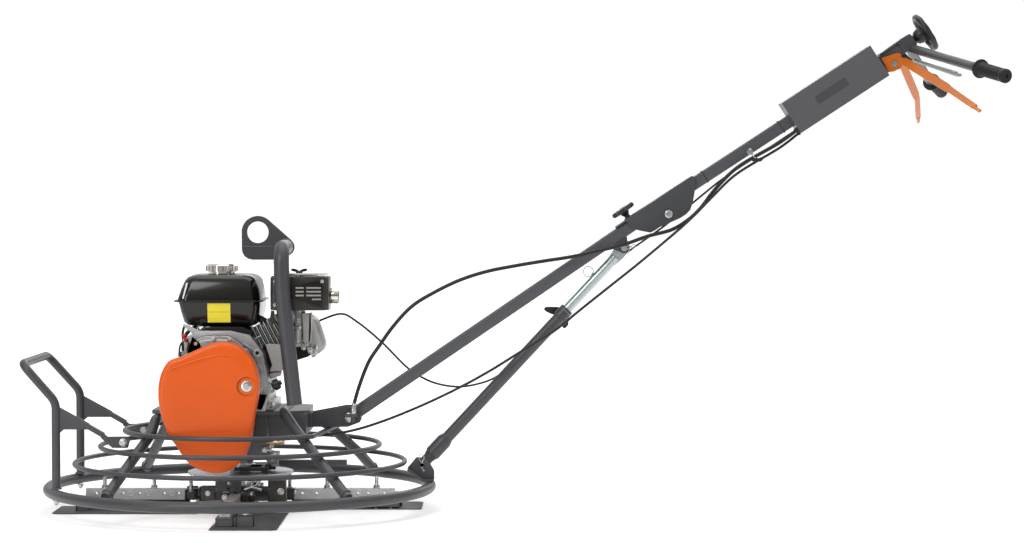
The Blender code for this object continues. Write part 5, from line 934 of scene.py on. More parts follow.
for k in range(4):
    body = f"arm_{k + 1}"
    yoke = [box((-0.0330, -0.1330, 0.0300), (-0.0160, -0.1060, 0.0520)), box((0.0160, -0.1330, 0.0230), (0.0300, -0.1290, 0.0480))]
    piece(f"arm_clamp_{k + 1}", [turn(q, k) for q in yoke], HEAT, body, bevel=0.0015)
    nuts = hex_head((-0.0245, -0.1318, 0.0410), (0, -1, 0), 0.0064, 0.0046, washer=0.0080)
    nuts += hex_head((0, -0.3750, 0.0357), (0, -1, 0), 0.0070, 0.0050, washer=0.0088) if k == 0 else []
    for y in (-0.165, -0.225, -0.2650, -0.3300):
        nuts += [lathe([(0.0040, 0.0), (0.0062, 0.0), (0.0062, 0.0010), (0.0040, 0.0010)], (0.0125, y, 0.0370), (1, 0, 0), 20, closed=True)]
    piece(f"arm_nuts_{k + 1}", [turn(q, k) for q in nuts], BOLT, body, bevel=0.0003)

# ------------------------------------------------------------------ handle
HT, UT = math.radians(34.23), math.radians(33.20)
HP, FP, U0 = (0.2670, 0.2237), (1.0370, 0.7150), (1.0370, 0.7475)
fold_s = (FP[0] - HP[0]) * math.cos(HT) + (FP[1] - HP[1]) * math.sin(HT)
dress("handle_bracket", GREY, 0.0012)
ub = hex_head((HP[0], -0.0345, HP[1]), (0, -1, 0), 0.0090, 0.0065, washer=0.0120) + hex_head((HP[0], 0.0345, HP[1]), (0, 1, 0), 0.0090, 0.0070, washer=0.0120, thread=0.004)
piece("handle_pivot_bolt", ub, BOLT, "frame", bevel=0.0003)


def rr_tube(origin, tilt, s0, s1, nh, yh, r, wall):
    rows = []
    for half_n, half_y, rad, ends in ((nh, yh, r, (s0, s1)), (nh - wall, yh - wall, max(0.0006, r - wall), (s1, s0))):
        for s in ends:
            rows.append([along(origin, tilt, s, a, b) for a, b, _ in rounded_rect(-half_n, half_n, -half_y, half_y, rad, 0, 4)])
    v = [p for row in rows for p in row]
    n = len(rows[0])
    f = []
    for i in range(4):
        j = (i + 1) % 4
        f += [(i * n + k, i * n + (k + 1) % n, j * n + (k + 1) % n, j * n + k) for k in range(n)]
    return v, f


def arc_pts(cs, cn, r, a0, a1, steps):
    return [(cs + r * math.cos(a0 + (a1 - a0) * k / steps), cn + r * math.sin(a0 + (a1 - a0) * k / steps)) for k in range(steps + 1)]


fold_n = -(FP[0] - HP[0]) * math.sin(HT) + (FP[1] - HP[1]) * math.cos(HT)
SF, ST = (0.4410, 0.1070), (0.9300, 0.6320)
top_s = (ST[0] - HP[0]) * math.cos(HT) + (ST[1] - HP[1]) * math.sin(HT)
top_n = -(ST[0] - HP[0]) * math.sin(HT) + (ST[1] - HP[1]) * math.cos(HT)
lug_fold = [(fold_s - 0.060, -0.014)] + arc_pts(fold_s, fold_n, 0.0130, math.radians(215), math.radians(385), 14) + [(fold_s - 0.004, -0.014)]
lug_strut = [(top_s - 0.030, -0.014)] + arc_pts(top_s, top_n, 0.0120, math.radians(190), math.radians(350), 12) + [(top_s + 0.022, -0.014)]
piece("lower_tube_shell", [rr_tube(HP, HT, -0.0200, fold_s - 0.0080, 0.0150, 0.0200, 0.0040, 0.0025)], GREY, "lower_tube", ["lower_handle"], angle=30)
piece("lower_tube_lugs", [slab(HP, HT, lug_fold, -0.0180, 0.0180), slab(HP, HT, lug_strut, -0.0180, -0.0130), slab(HP, HT, lug_strut, 0.0130, 0.0180)], GREY, "lower_tube", bevel=0.0010)
piece("fold_pin", hex_head((FP[0], -0.0272, FP[1]), (0, -1, 0), 0.0090, 0.0052, washer=0.0098) + hex_head((FP[0], 0.0272, FP[1]), (0, 1, 0), 0.0090, 0.0058, washer=0.0098),
      BOLT, "lower_tube", bevel=0.0003)
piece("strut_top_pin", [cyl((ST[0], -0.0230, ST[1]), (ST[0], 0.0230, ST[1]), 0.0049, 24)] + [lathe([(0, 0), (0.0078, 0), (0.0078, 0.0030), (0, 0.0034)], (ST[0], 0.0180, ST[1]), (0, 1, 0), 24)]
      + [tube(ring_at((ST[0] - 0.010, -0.0215, ST[1] + 0.004), (0.3, 0, 1), 0.0110, 28), 0.0008, 8, closed=True)], BOLT, "lower_tube")

cheek = [(0.9306, 0.7008), (0.9400, 0.7070), (1.0880, 0.8030), (1.0954, 0.8075), (1.1000, 0.7990), (1.1014, 0.7834), (1.0995, 0.7673), (1.0954, 0.7434), (1.0893, 0.7253), (1.0800, 0.7150), (1.0655, 0.7055),
         (1.0400, 0.6940), (1.0152, 0.6833), (1.0050, 0.6760), (0.9933, 0.6702), (0.9800, 0.6725), (0.9663, 0.6752), (0.9554, 0.6782)][::-1]
piece("upper_tube_shell", [rr_tube(U0, UT, -0.0060, 0.6750, 0.0150, 0.0200, 0.0040, 0.0025)], GREY, "upper_tube", ["upper_handle"], angle=30)
web = (fold_s - 0.1240, fold_s + 0.0300)
piece("fold_cheeks", [prism(cheek, "XZ", -0.0270, -0.0225), prism(cheek, "XZ", 0.0225, 0.0270),
                      slab(HP, HT, [(web[0], 0.0156), (web[1], 0.0156), (web[1], 0.0194), (web[0], 0.0194)], -0.0265, 0.0265)], GREY, "upper_tube", bevel=0.0012,
      cut=[cyl((FP[0], -0.04, FP[1]), (FP[0], 0.04, FP[1]), 0.0066, 24)])
S_, N_ = 0.6350, -0.0219


def up(s, n, y):
    return along(U0, UT, s, n, y)


head = [slab(U0, UT, [(0.6180, 0.0140), (0.6180, 0.0176), (0.6900, 0.0200), (0.7040, 0.0190), (0.7065, 0.0150), (0.7065, -0.0134), (0.6950, -0.0134), (0.6700, -0.0134), (0.6700, 0.0140)][::-1], -0.0270, 0.0270)]
piece("handle_head", head, GREY, "upper_tube", bevel=0.0014)
piece("handle_head_lugs", [slab(U0, UT, [(S_ - 0.010, -0.0140), (S_ + 0.010, -0.0140), (S_ + 0.007, N_ - 0.007), (S_ - 0.007, N_ - 0.007)][::-1], -0.0180, 0.0180),
                           slab(U0, UT, [(0.6550, -0.0140), (0.6680, -0.0430), (0.6800, -0.0430), (0.6730, -0.0120), (0.6560, -0.0120)], -0.0060, 0.0060)], GREY, "upper_tube", bevel=0.0010)
piece("lever_pin", [cyl(up(S_, N_, -0.0320), up(S_, N_, 0.0320), 0.0050, 24), lathe([(0, 0), (0.0072, 0), (0.0072, 0.002), (0, 0.0024)], up(S_, N_, -0.0285), (0, -1, 0), 24)], BOLT, "upper_tube")
piece("throttle_box", [prism(smooth_loop([(1.6260, 1.1010), (1.6480, 1.1170), (1.6650, 1.1080), (1.6560, 1.0940), (1.6400, 1.0870)], 3), "XZ", 0.0300, 0.0480)], PLASTIC, "upper_tube", bevel=0.001) if False else None

# knobs
ks = along(HP, HT, fold_s - 0.0850, 0.0200)
kax = (-math.sin(HT), 0, math.cos(HT))


def off(base, axis, h):
    return tuple(b + a * h for b, a in zip(base, axis))


def star(base, axis, heights, r_out, r_in, lobes):
    axis = unit(axis)
    s = unit(np.cross(axis, (0, 1, 0)))
    u = np.cross(axis, s)
    rows = []
    n = lobes * 10
    for h, g in heights:
        row = []
        for k in range(n):
            a = 2 * math.pi * k / n
            r = (r_in + (r_out - r_in) * (0.5 + 0.5 * math.cos(lobes * a)) ** 0.7) * g
            row.append(tuple(np.asarray(base) + h * axis + r * (math.cos(a) * s + math.sin(a) * u)))
        rows.append(row)
    return loft(rows)


piece("fold_star_knob", [lathe([(0, 0), (0.0070, 0), (0.0070, 0.008), (0.0090, 0.010), (0.0120, 0.0165), (0, 0.0165)], ks, kax, 28),
                         star(ks, kax, [(0.0160, 0.80), (0.0172, 0.95), (0.0200, 1.0), (0.0245, 1.0), (0.0272, 0.94), (0.0280, 0.80)], 0.0300, 0.0225, 6)], PLASTIC, "tube_knob", ["fold_knob"])
piece("fold_knob_insert", [lathe([(0, 0.0275), (0.0060, 0.0275), (0.0060, 0.0290), (0.0052, 0.0295), (0, 0.0295)], ks, kax, 24), cyl(off(ks, kax, -0.0004), off(ks, kax, 0.006), 0.0046, 18)], BOLT, "tube_knob")

# ------------------------------------------------------------------ strut
sa = math.atan2(ST[1] - SF[1], ST[0] - SF[0])
sl = math.hypot(ST[0] - SF[0], ST[1] - SF[1])


def st(s, n=0.0, y=0.0):
    return along(SF, sa, s, n, y)


piece("strut_sleeve_tube", [tube([st(0.0850), st(0.4900)], 0.0143, 32),
                            tube([st(0.0240), st(0.0330), st(0.0360), st(0.0780), st(0.0860), st(0.0900)], [0.0145, 0.0165, 0.0190, 0.0190, 0.0165, 0.0146], 32),
                            tube([st(0.4870), st(0.4890), st(0.5140), st(0.5170)], [0.0150, 0.0170, 0.0170, 0.0160], 32),
                            slab(SF, sa, [(0.0320, 0.0130)] + arc_pts(0, 0, 0.0130, math.radians(90), math.radians(270), 12) + [(0.0320, -0.0130)], -0.0100, 0.0100)],
      GREY, "strut_sleeve", ["strut_outer"], bevel=0.0006)
piece("strut_rod_tube", [tube([st(0.1600), st(sl - 0.0300)], 0.0120, 32)], ZINC, "strut_rod", ["strut_inner"])
tong = [(sl - 0.0550, -0.0105), (sl - 0.0550, 0.0105), (sl - 0.0220, 0.0150)] + arc_pts(sl, 0, 0.0150, math.radians(75), math.radians(-75), 14) + [(sl - 0.0220, -0.0150)]
piece("strut_rod_eye", [slab(SF, sa, tong[::-1], -0.0060, 0.0060)], ZINC, "strut_rod", bevel=0.0010, cut=[cyl((ST[0], -0.02, ST[1]), (ST[0], 0.02, ST[1]), 0.0095, 28)])
wa = st(0.5025, 0.0, 0.0176)
w1 = smooth_loop([(0.7395, 0.4790), (0.7400, 0.4875), (0.7560, 0.4885), (0.7760, 0.4870), (0.7860, 0.4780), (0.7780, 0.4700), (0.7620, 0.4690)], 4)
w2 = smooth_loop([(0.7900, 0.4820), (0.7975, 0.4700), (0.7965, 0.4560), (0.7955, 0.4440), (0.7860, 0.4360), (0.7800, 0.4450), (0.7740, 0.4620), (0.7780, 0.4740)], 4)
piece("strut_wing_knob", [cyl(wa, (wa[0], 0.0300, wa[2]), 0.0085, 28), lathe([(0, 0.0270), (0.0115, 0.0270), (0.0115, 0.0370), (0.0090, 0.0400), (0, 0.0400)], (wa[0], 0, wa[2]), (0, 1, 0), 28),
                          prism(w1, "XZ", 0.0290, 0.0385), prism(w2, "XZ", 0.0290, 0.0385)], PLASTIC, "strut_wing", ["strut_knob"], bevel=0.0012)
dress("strut_bracket", GREY, 0.0010)
fp = [cyl((SF[0], -0.0230, SF[1]), (SF[0], 0.0230, SF[1]), 0.0049, 24), lathe([(0, 0), (0.0078, 0), (0.0078, 0.0028), (0, 0.0032)], (SF[0], 0.0165, SF[1]), (0, 1, 0), 24)]
clip = smooth_line([(SF[0] + 0.004, -0.0205, SF[1] - 0.016), (SF[0] + 0.001, -0.0205, SF[1] - 0.006), (SF[0] + 0.003, -0.0205, SF[1] + 0.003), (SF[0] - 0.004, -0.0205, SF[1] + 0.010), (SF[0] - 0.008, -0.0205, SF[1] + 0.020),
                    (SF[0] - 0.001, -0.0205, SF[1] + 0.026), (SF[0] + 0.005, -0.0205, SF[1] + 0.019), (SF[0] + 0.001, -0.0205, SF[1] + 0.009), (SF[0] - 0.003, -0.0205, SF[1] + 0.001), (SF[0] + 0.000, -0.0205, SF[1] - 0.008),
                    (SF[0] + 0.007, -0.0205, SF[1] - 0.014)], 6)
piece("strut_foot_pin", fp, BOLT, "frame")
piece("strut_foot_clip", [tube(clip, 0.0011, 8)], BOLT, "frame")

hitch = st(0.6200, 0.0130)
piece("strut_hitch_ring", [tube(ring_at((hitch[0] - 0.0100, -0.0060, hitch[2] + 0.0060), (0.25, 1.0, 0.1), 0.0125, 40), 0.0010, 8, closed=True), cyl(st(0.6200, 0.0100, 0.0), st(0.6200, 0.0150, 0.0), 0.0040, 18)], DULL, "strut_rod")
piece("strut_top_split_pin", [tube(smooth_line([(ST[0] + 0.002, -0.0205, ST[1] - 0.004), (ST[0] + 0.012, -0.0205, ST[1] + 0.001), (ST[0] + 0.020, -0.0205, ST[1] + 0.008), (ST[0] + 0.026, -0.0205, ST[1] + 0.009), (ST[0] + 0.027, -0.0205, ST[1] + 0.003),
                                                (ST[0] + 0.021, -0.0205, ST[1] + 0.001), (ST[0] + 0.012, -0.0205, ST[1] + 0.006), (ST[0] + 0.003, -0.0205, ST[1] + 0.003)], 6), 0.0011, 8),
                              lathe([(0, 0), (0.0070, 0), (0.0070, 0.0012), (0, 0.0014)], (ST[0], -0.0183, ST[1]), (0, -1, 0), 24)], BOLT, "lower_tube")
piece("strut_collar_slit", [tube([st(0.5100, 0.0171 * math.cos(a_), 0.0171 * math.sin(a_)) for a_ in [math.radians(200 + 140 * k / 16) for k in range(17)]], 0.0007, 6)], DULL, "strut_sleeve")

# ------------------------------------------------------------------ control box, bar, grips, wheel, levers
dress("control_box", GREY_BOX, 0.0025, 3)
piece("control_box_plate", [slab(U0, UT, [(0.4280, -0.0030), (0.5140, -0.0030), (0.5140, 0.0170), (0.4280, 0.0170)][::-1], -0.0457, -0.0446)], PATCH, "upper_tube", bevel=0.0003)
cb = []
for s, n in ((0.3640, 0.0380), (0.3640, -0.0290), (0.5975, 0.0380), (0.5975, -0.0290)):
    cb += cap_screw(up(s, n, 0.0449), (0, 1, 0), 0.0034, 0.0024)
piece("control_box_screws", cb, BOLT, "upper_tube")
grom = [tube([up(0.3480, -0.0360, -0.0190), up(0.3545, -0.0360, -0.0190)], [0.0042, 0.0056], 18, bore=0.0031), tube([up(0.3480, -0.0270, -0.0330), up(0.3545, -0.0270, -0.0330)], [0.0056, 0.0070], 18, bore=0.0048),
        tube([up(0.3480, -0.0270, 0.0120), up(0.3545, -0.0270, 0.0120)], [0.0040, 0.0052], 18, bore=0.0028)]
piece("control_box_grommets", grom, RUBBER, "upper_tube")

bar_mid = along(U0, UT, 0.6885, -0.0085)
bar_end, grip_end = (1.7186, 0.3350, 1.0550), (1.7690, 0.4500, 1.0290)


def my(p):
    return (p[0], -p[1], p[2])


bar = fillet([my(grip_end), my(bar_end), (bar_mid[0], 0, bar_mid[2]), bar_end, grip_end], [0.10, 0.08, 0.10], 12)
piece("handlebar_tube", [tube(bar, 0.0109, 28)], GREY, "upper_tube", ["handlebar"])
for name, flip in (("near", my), ("far", lambda p: p)):
    e = np.asarray(grip_end) - np.asarray(bar_end)
    ln = float(np.linalg.norm(e))
    d = unit(e)
    prof = [(0.0112, 0.0250), (0.0170, 0.0240), (0.0215, 0.0255), (0.0224, 0.0280), (0.0215, 0.0310), (0.0175, 0.0325), (0.0160, 0.0360)]
    h = 0.0400
    while h < ln - 0.012:
        prof += [(0.0158, h), (0.0150, h + 0.0009), (0.0150, h + 0.0030), (0.0158, h + 0.0040)]
        h += 0.0058
    prof += [(0.0156, ln - 0.006), (0.0164, ln - 0.004), (0.0165, ln + 0.0035), (0.0150, ln + 0.0058), (0.0050, ln + 0.0058), (0.0046, ln + 0.0030), (0, ln + 0.0026)]
    g = lathe(prof, flip(bar_end), flip(tuple(d)), 40)
    piece(f"grip_{name}_ribbed", [g], RUBBER, "upper_tube", [f"grip_{name}"], angle=50)

ua = (math.cos(UT), 0, math.sin(UT))
wc = along(U0, UT, 0.7420, 0.0)
rim = ring_at(wc, ua, 0.0425, 72)
hw = [tube(rim, [0.0078 * (1 + 0.05 * math.cos(9 * 2 * math.pi * k / 72)) for k in range(72)], 20, closed=True)]
hub0 = along(U0, UT, 0.7075, 0.0)
hw.append(lathe([(0, 0), (0.0100, 0), (0.0112, 0.005), (0.0160, 0.009), (0.0190, 0.018), (0.0200, 0.032), (0.0180, 0.0395), (0.0140, 0.0425), (0, 0.0428)], hub0, ua, 44))
for k in range(3):
    p = ring_at(wc, ua, 0.0420, 3)[k]
    q = ring_at(along(U0, UT, 0.7400, 0.0), ua, 0.0100, 3)[k]
    hw.append(tube([q, tuple((np.array(p) + np.array(q)) / 2 - np.array(ua) * 0.001), p], [0.0064, 0.0048, 0.0052], 14))
piece("pitch_hand_wheel", hw, PLASTIC, "wheel", ["hand_wheel"])
piece("pitch_screw_end", hex_head(along(U0, UT, 0.7496, 0.0), ua, 0.0075, 0.0040, washer=0.0090), BOLT, "wheel", bevel=0.0003)
piece("pitch_screw_bush", [lathe([(0.0060, 0.7062), (0.0125, 0.7062), (0.0125, 0.7071), (0.0060, 0.7071)], (U0[0], 0, U0[1]), ua, 30, closed=True)], ZINC, "upper_tube")


def bar_flat(path, width, thick, widths, upv=(0, 0, 1)):
    p = np.asarray(path, float)
    rows = []
    for i in range(len(p)):
        a = p[i] - p[i - 1] if i else p[1] - p[0]
        b = p[i + 1] - p[i] if i < len(p) - 1 else p[-1] - p[-2]
        t = unit(unit(a) + unit(b))
        w = unit(np.asarray(upv, float) - (np.asarray(upv, float) @ t) * t)
        s = np.cross(t, w)
        h = widths[i] / 2
        rows.append([tuple(p[i] + a_ * h * w + b_ * thick / 2 * s) for a_, b_ in ((-1, -1), (1, -1), (1, 1), (-1, 1))])
    return loft(rows)


lev = []
for side in (-1, 1):
    pts = [(1.5880, side * 0.0262, 1.0830), (1.6070, side * 0.0300, 1.0800), (1.6400, side * 0.1360, 1.0455), (1.6700, side * 0.2335, 1.0133), (1.6790, side * 0.2640, 1.0030), (1.7060, side * 0.4240, 0.9604),
           (1.7062, side * 0.4250, 0.9580), (1.7120, side * 0.4590, 0.9495)]
    lev.append(bar_flat(pts, 0.02, 0.0046, [0.021, 0.021, 0.0205, 0.0200, 0.0150, 0.0145, 0.0085, 0.0080], (0.7, 0, 0.7)))
side_pts = smooth_loop([(0.6130, -0.0300), (0.6270, -0.0355), (0.6420, -0.0396), (0.6520, -0.0280), (0.6598, -0.0130), (0.6560, -0.0040), (0.6350, 0.0015), (0.6160, 0.0055), (0.6145, -0.0120)], 3)
for y0, y1 in ((-0.0275, -0.0242), (0.0242, 0.0275)):
    lev.append(slab(U0, UT, side_pts, y0, y1))
lev.append(slab(U0, UT, [(0.6240, -0.0370), (0.6420, -0.0390), (0.6420, -0.0350), (0.6240, -0.0330)], -0.0260, 0.0260))
piece("safety_lever_pressing", lev, ORANGE_LEVER, "safety_lever", ["operator_lever"], bevel=0.0008)
loop = fillet([(1.6215, 0.0120, 1.0860), (1.6215, -0.0420, 1.0860), (1.7280, -0.0420, 1.0490), (1.7390, -0.0280, 1.0490), (1.7390, 0.0000, 1.0550), (1.7280, 0.0120, 1.0590),
               (1.6335, 0.0120, 1.0870)], [0.006, 0.014, 0.014, 0.014, 0.014], 6)
piece("throttle_hairpin", [tube(loop, 0.0042, 20)], DULL, "speed_lever", ["throttle_lever"])

# ------------------------------------------------------------------ cables, each in two overlapping lengths


def curve_points(points, spacing):
    p = [np.asarray(q, float) for q in points]
    p = [2 * p[0] - p[1]] + p + [2 * p[-1] - p[-2]]
    fine = []
    for i in range(1, len(p) - 2):
        a, b, c, d = p[i - 1], p[i], p[i + 1], p[i + 2]
        ta, tb, tc = (max(np.linalg.norm(b - a), 1e-6) ** 0.5, max(np.linalg.norm(c - b), 1e-6) ** 0.5, max(np.linalg.norm(d - c), 1e-6) ** 0.5)
        m1 = tb * ((b - a) / ta - (c - a) / (ta + tb)) + (c - b)
        m2 = tb * ((d - c) / tc - (d - b) / (tb + tc)) + (c - b)
        for k in range(24):
            t = k / 24
            fine.append((2 * t ** 3 - 3 * t ** 2 + 1) * b + (t ** 3 - 2 * t ** 2 + t) * m1 + (-2 * t ** 3 + 3 * t ** 2) * c + (t ** 3 - t ** 2) * m2)
    fine.append(p[-2])
    fine = np.array(fine)
    run = np.concatenate([[0], np.cumsum(np.linalg.norm(np.diff(fine, axis=0), axis=1))])
    count = max(8, int(run[-1] / spacing))
    at = np.linspace(0, run[-1], count)
    return [tuple(np.interp(at, run, fine[:, k])[i] for k in range(3)) for i in range(count)]


PITCH_CABLE = [(0.2761, -0.0400, 0.2380), (0.2790, -0.0400, 0.2600), (0.2915, -0.0400, 0.3030), (0.3145, -0.0400, 0.3605), (0.3405, -0.0400, 0.3995), (0.3730, -0.0400, 0.4450), (0.4180, -0.0400, 0.4930),
               (0.4700, -0.0400, 0.5255), (0.5345, -0.0400, 0.5565), (0.5990, -0.0400, 0.5770), (0.6640, -0.0400, 0.5900), (0.7290, -0.0400, 0.6010), (0.8060, -0.0400, 0.6130), (0.8640, -0.0400, 0.6260),
               (0.9290, -0.0400, 0.6420), (0.9870, -0.0400, 0.6620), (1.0450, -0.0400, 0.6780), (1.0840, -0.0400, 0.7020), (1.1100, -0.0400, 0.7260), (1.1490, -0.0400, 0.7760), (1.2000, -0.0380, 0.8260),
               up(0.3000, -0.0290, -0.0340), up(0.3522, -0.0270, -0.0330)]
STOP_CABLE = [(0.1780, -0.0450, 0.1800), (0.2150, -0.0440, 0.1830), (0.2755, -0.0430, 0.1935), (0.3405, -0.0400, 0.2130), (0.4250, -0.0350, 0.2460), (0.5220, -0.0320, 0.2910), (0.5995, -0.0320, 0.3330),
              (0.6835, -0.0320, 0.3850), (0.7610, -0.0320, 0.4330), (0.8250, -0.0330, 0.4850), (0.8900, -0.0350, 0.5370), (0.9550, -0.0420, 0.5890), (1.0195, -0.0480, 0.6430), (1.0715, -0.0510, 0.6880),
              (1.1000, -0.0520, 0.7150), (1.1400, -0.0500, 0.7560), (1.1950, -0.0400, 0.8080), up(0.3000, -0.0400, -0.0230), up(0.3525, -0.0360, -0.0190)]
THROTTLE_CABLE = [(0.1660, 0.0850, 0.4420), (0.1950, 0.0840, 0.4560), (0.2450, 0.0600, 0.4700), (0.2800, 0.0450, 0.4520), (0.3370, 0.0380, 0.4060), (0.4060, 0.0360, 0.3380), (0.4360, 0.0360, 0.3180),
                  (0.4720, 0.0380, 0.3020), (0.5240, 0.0420, 0.2930), (0.5700, 0.0480, 0.2980), (0.6200, 0.0540, 0.3160), (0.6800, 0.0600, 0.3680), (0.7600, 0.0620, 0.4500), (0.8500, 0.0600, 0.5450),
                  (0.9400, 0.0540, 0.6200), (1.0300, 0.0480, 0.6850), (1.1000, 0.0430, 0.7420), (1.1700, 0.0300, 0.7990), up(0.2500, -0.0280, 0.0150), up(0.3525, -0.0270, 0.0120)]


def cable(name, points, r, split, node, start_end_1, start_end_2, n=14):
    """Two overlapping lengths of sheath, split near a given x: one runs from the frame to the lower tube, the other on
    to the upper tube.
    """
    pts = curve_points(points, 0.006)
    k = min(range(len(pts)), key=lambda i: abs(pts[i][0] - split))
    for part, sub, bodies, ends in (("a", pts[:k + 2], ("frame", "lower_tube"), start_end_1), ("b", pts[k:], ("lower_tube", "upper_tube"), start_end_2)):
        o = piece(f"{name}_{part}", [tube(sub, r if part == "a" else r * 0.999, n)], SHEATH, None)
        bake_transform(o)
        if part == "a":
            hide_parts(node)


cable("pitch_cable_sheath", PITCH_CABLE, 0.0045, 0.930, "pitch_cable", ((0.279, -0.04, 0.262), (0.700, -0.04, 0.600)), ((0.960, -0.04, 0.652), (1.150, -0.04, 0.780)))
cable("stop_cable_sheath", STOP_CABLE, 0.0032, 0.900, "stop_cable", ((0.230, -0.04, 0.187), (0.850, -0.03, 0.505)), ((0.940, -0.04, 0.580), (1.150, -0.05, 0.770)))
cable("throttle_cable_sheath", THROTTLE_CABLE, 0.0025, 0.900, "throttle_cable", ((0.180, 0.085, 0.450), (0.840, 0.06, 0.535)), ((0.940, 0.05, 0.620), (1.150, 0.03, 0.785)))
piece("pitch_cable_ferrule", [lathe([(0.0047, 0.000), (0.0062, 0.000), (0.0066, 0.003), (0.0066, 0.012), (0.0056, 0.014), (0.0056, 0.026), (0.0047, 0.026)], (0.2755, -0.0400, 0.2330), (0.13, 0, 1), 20, closed=True)], BOLT, "frame")
piece("pitch_cable_anchor", [box((0.2560, -0.0480, 0.2250), (0.2860, -0.0320, 0.2330)), cyl((0.2750, -0.0400, 0.2120), (0.2755, -0.0400, 0.2400), 0.0058, 18)], GREY, "frame", bevel=0.0008)
piece("tube_cable_clip", [tube(ring_at(along(U0, UT, 0.2290, -0.0265, -0.0300), ua, 0.0092, 30), 0.0020, 10, closed=True),
                          tube(ring_at(along(U0, UT, 0.2290, -0.0300, -0.0405), ua, 0.0052, 24), 0.0014, 8, closed=True)]
      + hex_head(along(U0, UT, 0.2290, -0.0090, -0.0202), (0, -1, 0), 0.0060, 0.0050, washer=0.0080), BOLT, "upper_tube")
wx, wy, wz = along(U0, UT, 0.2290, -0.0330, -0.0480)
wing = [cyl((wx, wy, wz), (wx, wy - 0.008, wz), 0.0050, 20)]
for sx in (-1, 1):
    wing.append(prism(smooth_loop([(wx + sx * 0.002, wz - 0.003), (wx + sx * 0.009, wz - 0.004), (wx + sx * 0.015, wz + 0.001), (wx + sx * 0.013, wz + 0.007), (wx + sx * 0.007, wz + 0.005), (wx + sx * 0.002, wz + 0.003)], 3), "XZ", wy - 0.0075, wy - 0.0045))
piece("tube_clip_wing_nut", wing, PLASTIC, "upper_tube", bevel=0.0005)
ties = []
for s in (0.1050, 0.3250):
    ties.append(tube([along(U0, UT, s, 0.0158, -0.0207), along(U0, UT, s, -0.0158, -0.0207), along(U0, UT, s, -0.0158, 0.0207), along(U0, UT, s, 0.0158, 0.0207)], 0.0011, 8, closed=True))
piece("cable_ties", ties, PLASTIC, "upper_tube")

# ------------------------------------------------------------------ floor, light and camera
scene = bpy.context.scene
scene.view_settings.view_transform = "Standard"
bm = bmesh.new()
bmesh.ops.create_grid(bm, x_segments=1, y_segments=1, size=40.0)
fm = bpy.data.meshes.new("floor")
bm.to_mesh(fm)
bm.free()
floor = bpy.data.objects.new("floor", fm)
floor.location = (0, 0, -0.0002)
scene.collection.objects.link(floor)
# painted light: the floor glows by its own emission, more behind the machine (+Y) and less towards -Y, where its colour
# also turns greyer
fmat, ft, fb = new_material("floor_pale")
fn = noise_of(ft, ft.nodes.new("ShaderNodeTexCoord").outputs["Object"], 3.0, 3.0)
fsep = ft.nodes.new("ShaderNodeSeparateXYZ")
ft.links.new([n for n in ft.nodes if n.bl_idname == "ShaderNodeTexCoord"][0].outputs["Object"], fsep.inputs["Vector"])
fade = ramp(ft, fsep.outputs["Y"], 0.0, 1.0, -6.0, -1.4)
pale = mixed(ft, ramp(ft, fn, 0.0, 1.0), (0.89, 0.89, 0.89), (0.91, 0.91, 0.91))
ft.links.new(mixed(ft, fade, (0.74, 0.74, 0.74), pale), fb.inputs["Base Color"])
fsum = ft.nodes.new("ShaderNodeMath")
fsum.operation = "ADD"
ft.links.new(ramp(ft, fade, 0.05, 0.26, 0.0, 1.0), fsum.inputs[0])
ft.links.new(ramp(ft, fsep.outputs["Y"], 0.0, 0.30, 0.8, 4.0), fsum.inputs[1])
ft.links.new(fsum.outputs["Value"], fb.inputs["Emission Strength"])
fb.inputs["Roughness"].default_value = 0.75
fb.inputs["Emission Color"].default_value = (1.0, 1.0, 0.995, 1.0)
fb.inputs["Specular IOR Level"].default_value = 0.25
fm.materials.append(fmat)

world = bpy.data.worlds.new("studio")
scene.world = world
world.use_nodes = True
wt = world.node_tree
bg = wt.nodes["Background"]
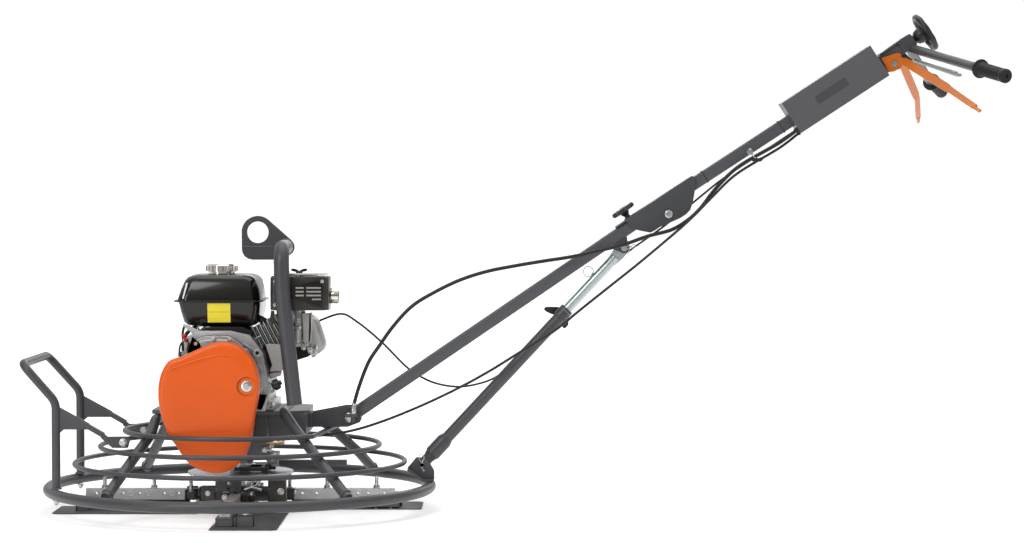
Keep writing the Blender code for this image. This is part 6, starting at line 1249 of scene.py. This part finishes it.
# the eye sees a plain white backdrop; the machine is lit by a softer room: bright above and behind, darker in front
wtc = wt.nodes.new("ShaderNodeTexCoord")
wsep = wt.nodes.new("ShaderNodeSeparateXYZ")
wt.links.new(wtc.outputs["Generated"], wsep.inputs["Vector"])
above = ramp(wt, wsep.outputs["Z"], 0.10, 0.85, 0.0, 0.9)
behind = ramp(wt, wsep.outputs["Y"], 0.0, 0.45, 0.0, 1.0)
wsum = wt.nodes.new("ShaderNodeMath")
wsum.operation = "ADD"
wt.links.new(above, wsum.inputs[0])
wt.links.new(behind, wsum.inputs[1])
wlp = wt.nodes.new("ShaderNodeLightPath")
wmix = wt.nodes.new("ShaderNodeMix")
wmix.data_type = "FLOAT"
wt.links.new(wlp.outputs["Is Camera Ray"], wmix.inputs[0])
wt.links.new(wsum.outputs["Value"], wmix.inputs[2])
wmix.inputs[3].default_value = 1.05
wt.links.new(wmix.outputs[0], bg.inputs["Strength"])
bg.inputs["Color"].default_value = (1.0, 1.0, 1.0, 1.0)


def area(name, loc, target, size, size_y, power):
    light = bpy.data.lights.new(name, "AREA")
    light.shape = "RECTANGLE"
    light.size, light.size_y, light.energy = size, size_y, power
    o = bpy.data.objects.new(name, light)
    o.location = loc
    o.rotation_euler = (Vector(target) - Vector(loc)).to_track_quat("-Z", "Y").to_euler()
    scene.collection.objects.link(o)
    return o


area("key", (-2.2, -3.2, 3.4), (0.0, 0.0, 0.4), 2.0, 1.5, 60)
area("top", (0.2, 0.2, 4.4), (0.1, 0.0, 0.3), 4.0, 3.0, 60)
area("strip", (-2.6, -3.0, 1.0), (0.0, 0.0, 0.6), 0.35, 2.4, 22)
area("fill", (3.4, -2.6, 1.8), (0.2, 0.0, 0.5), 1.2, 2.0, 16)
area("rim", (0.5, 3.6, 2.4), (0.0, 0.0, 0.5), 3.0, 1.6, 30)

cam_data = bpy.data.cameras.new("camera")
cam_data.lens = 94.6
cam_data.sensor_width = 36.0
cam_data.clip_end = 100
cam = bpy.data.objects.new("camera", cam_data)
cam.location = (0.659 + RX, -6.52, 0.761)
cam.rotation_euler = (math.radians(90 - 1.746), 0, 0)
scene.collection.objects.link(cam)
scene.camera = cam
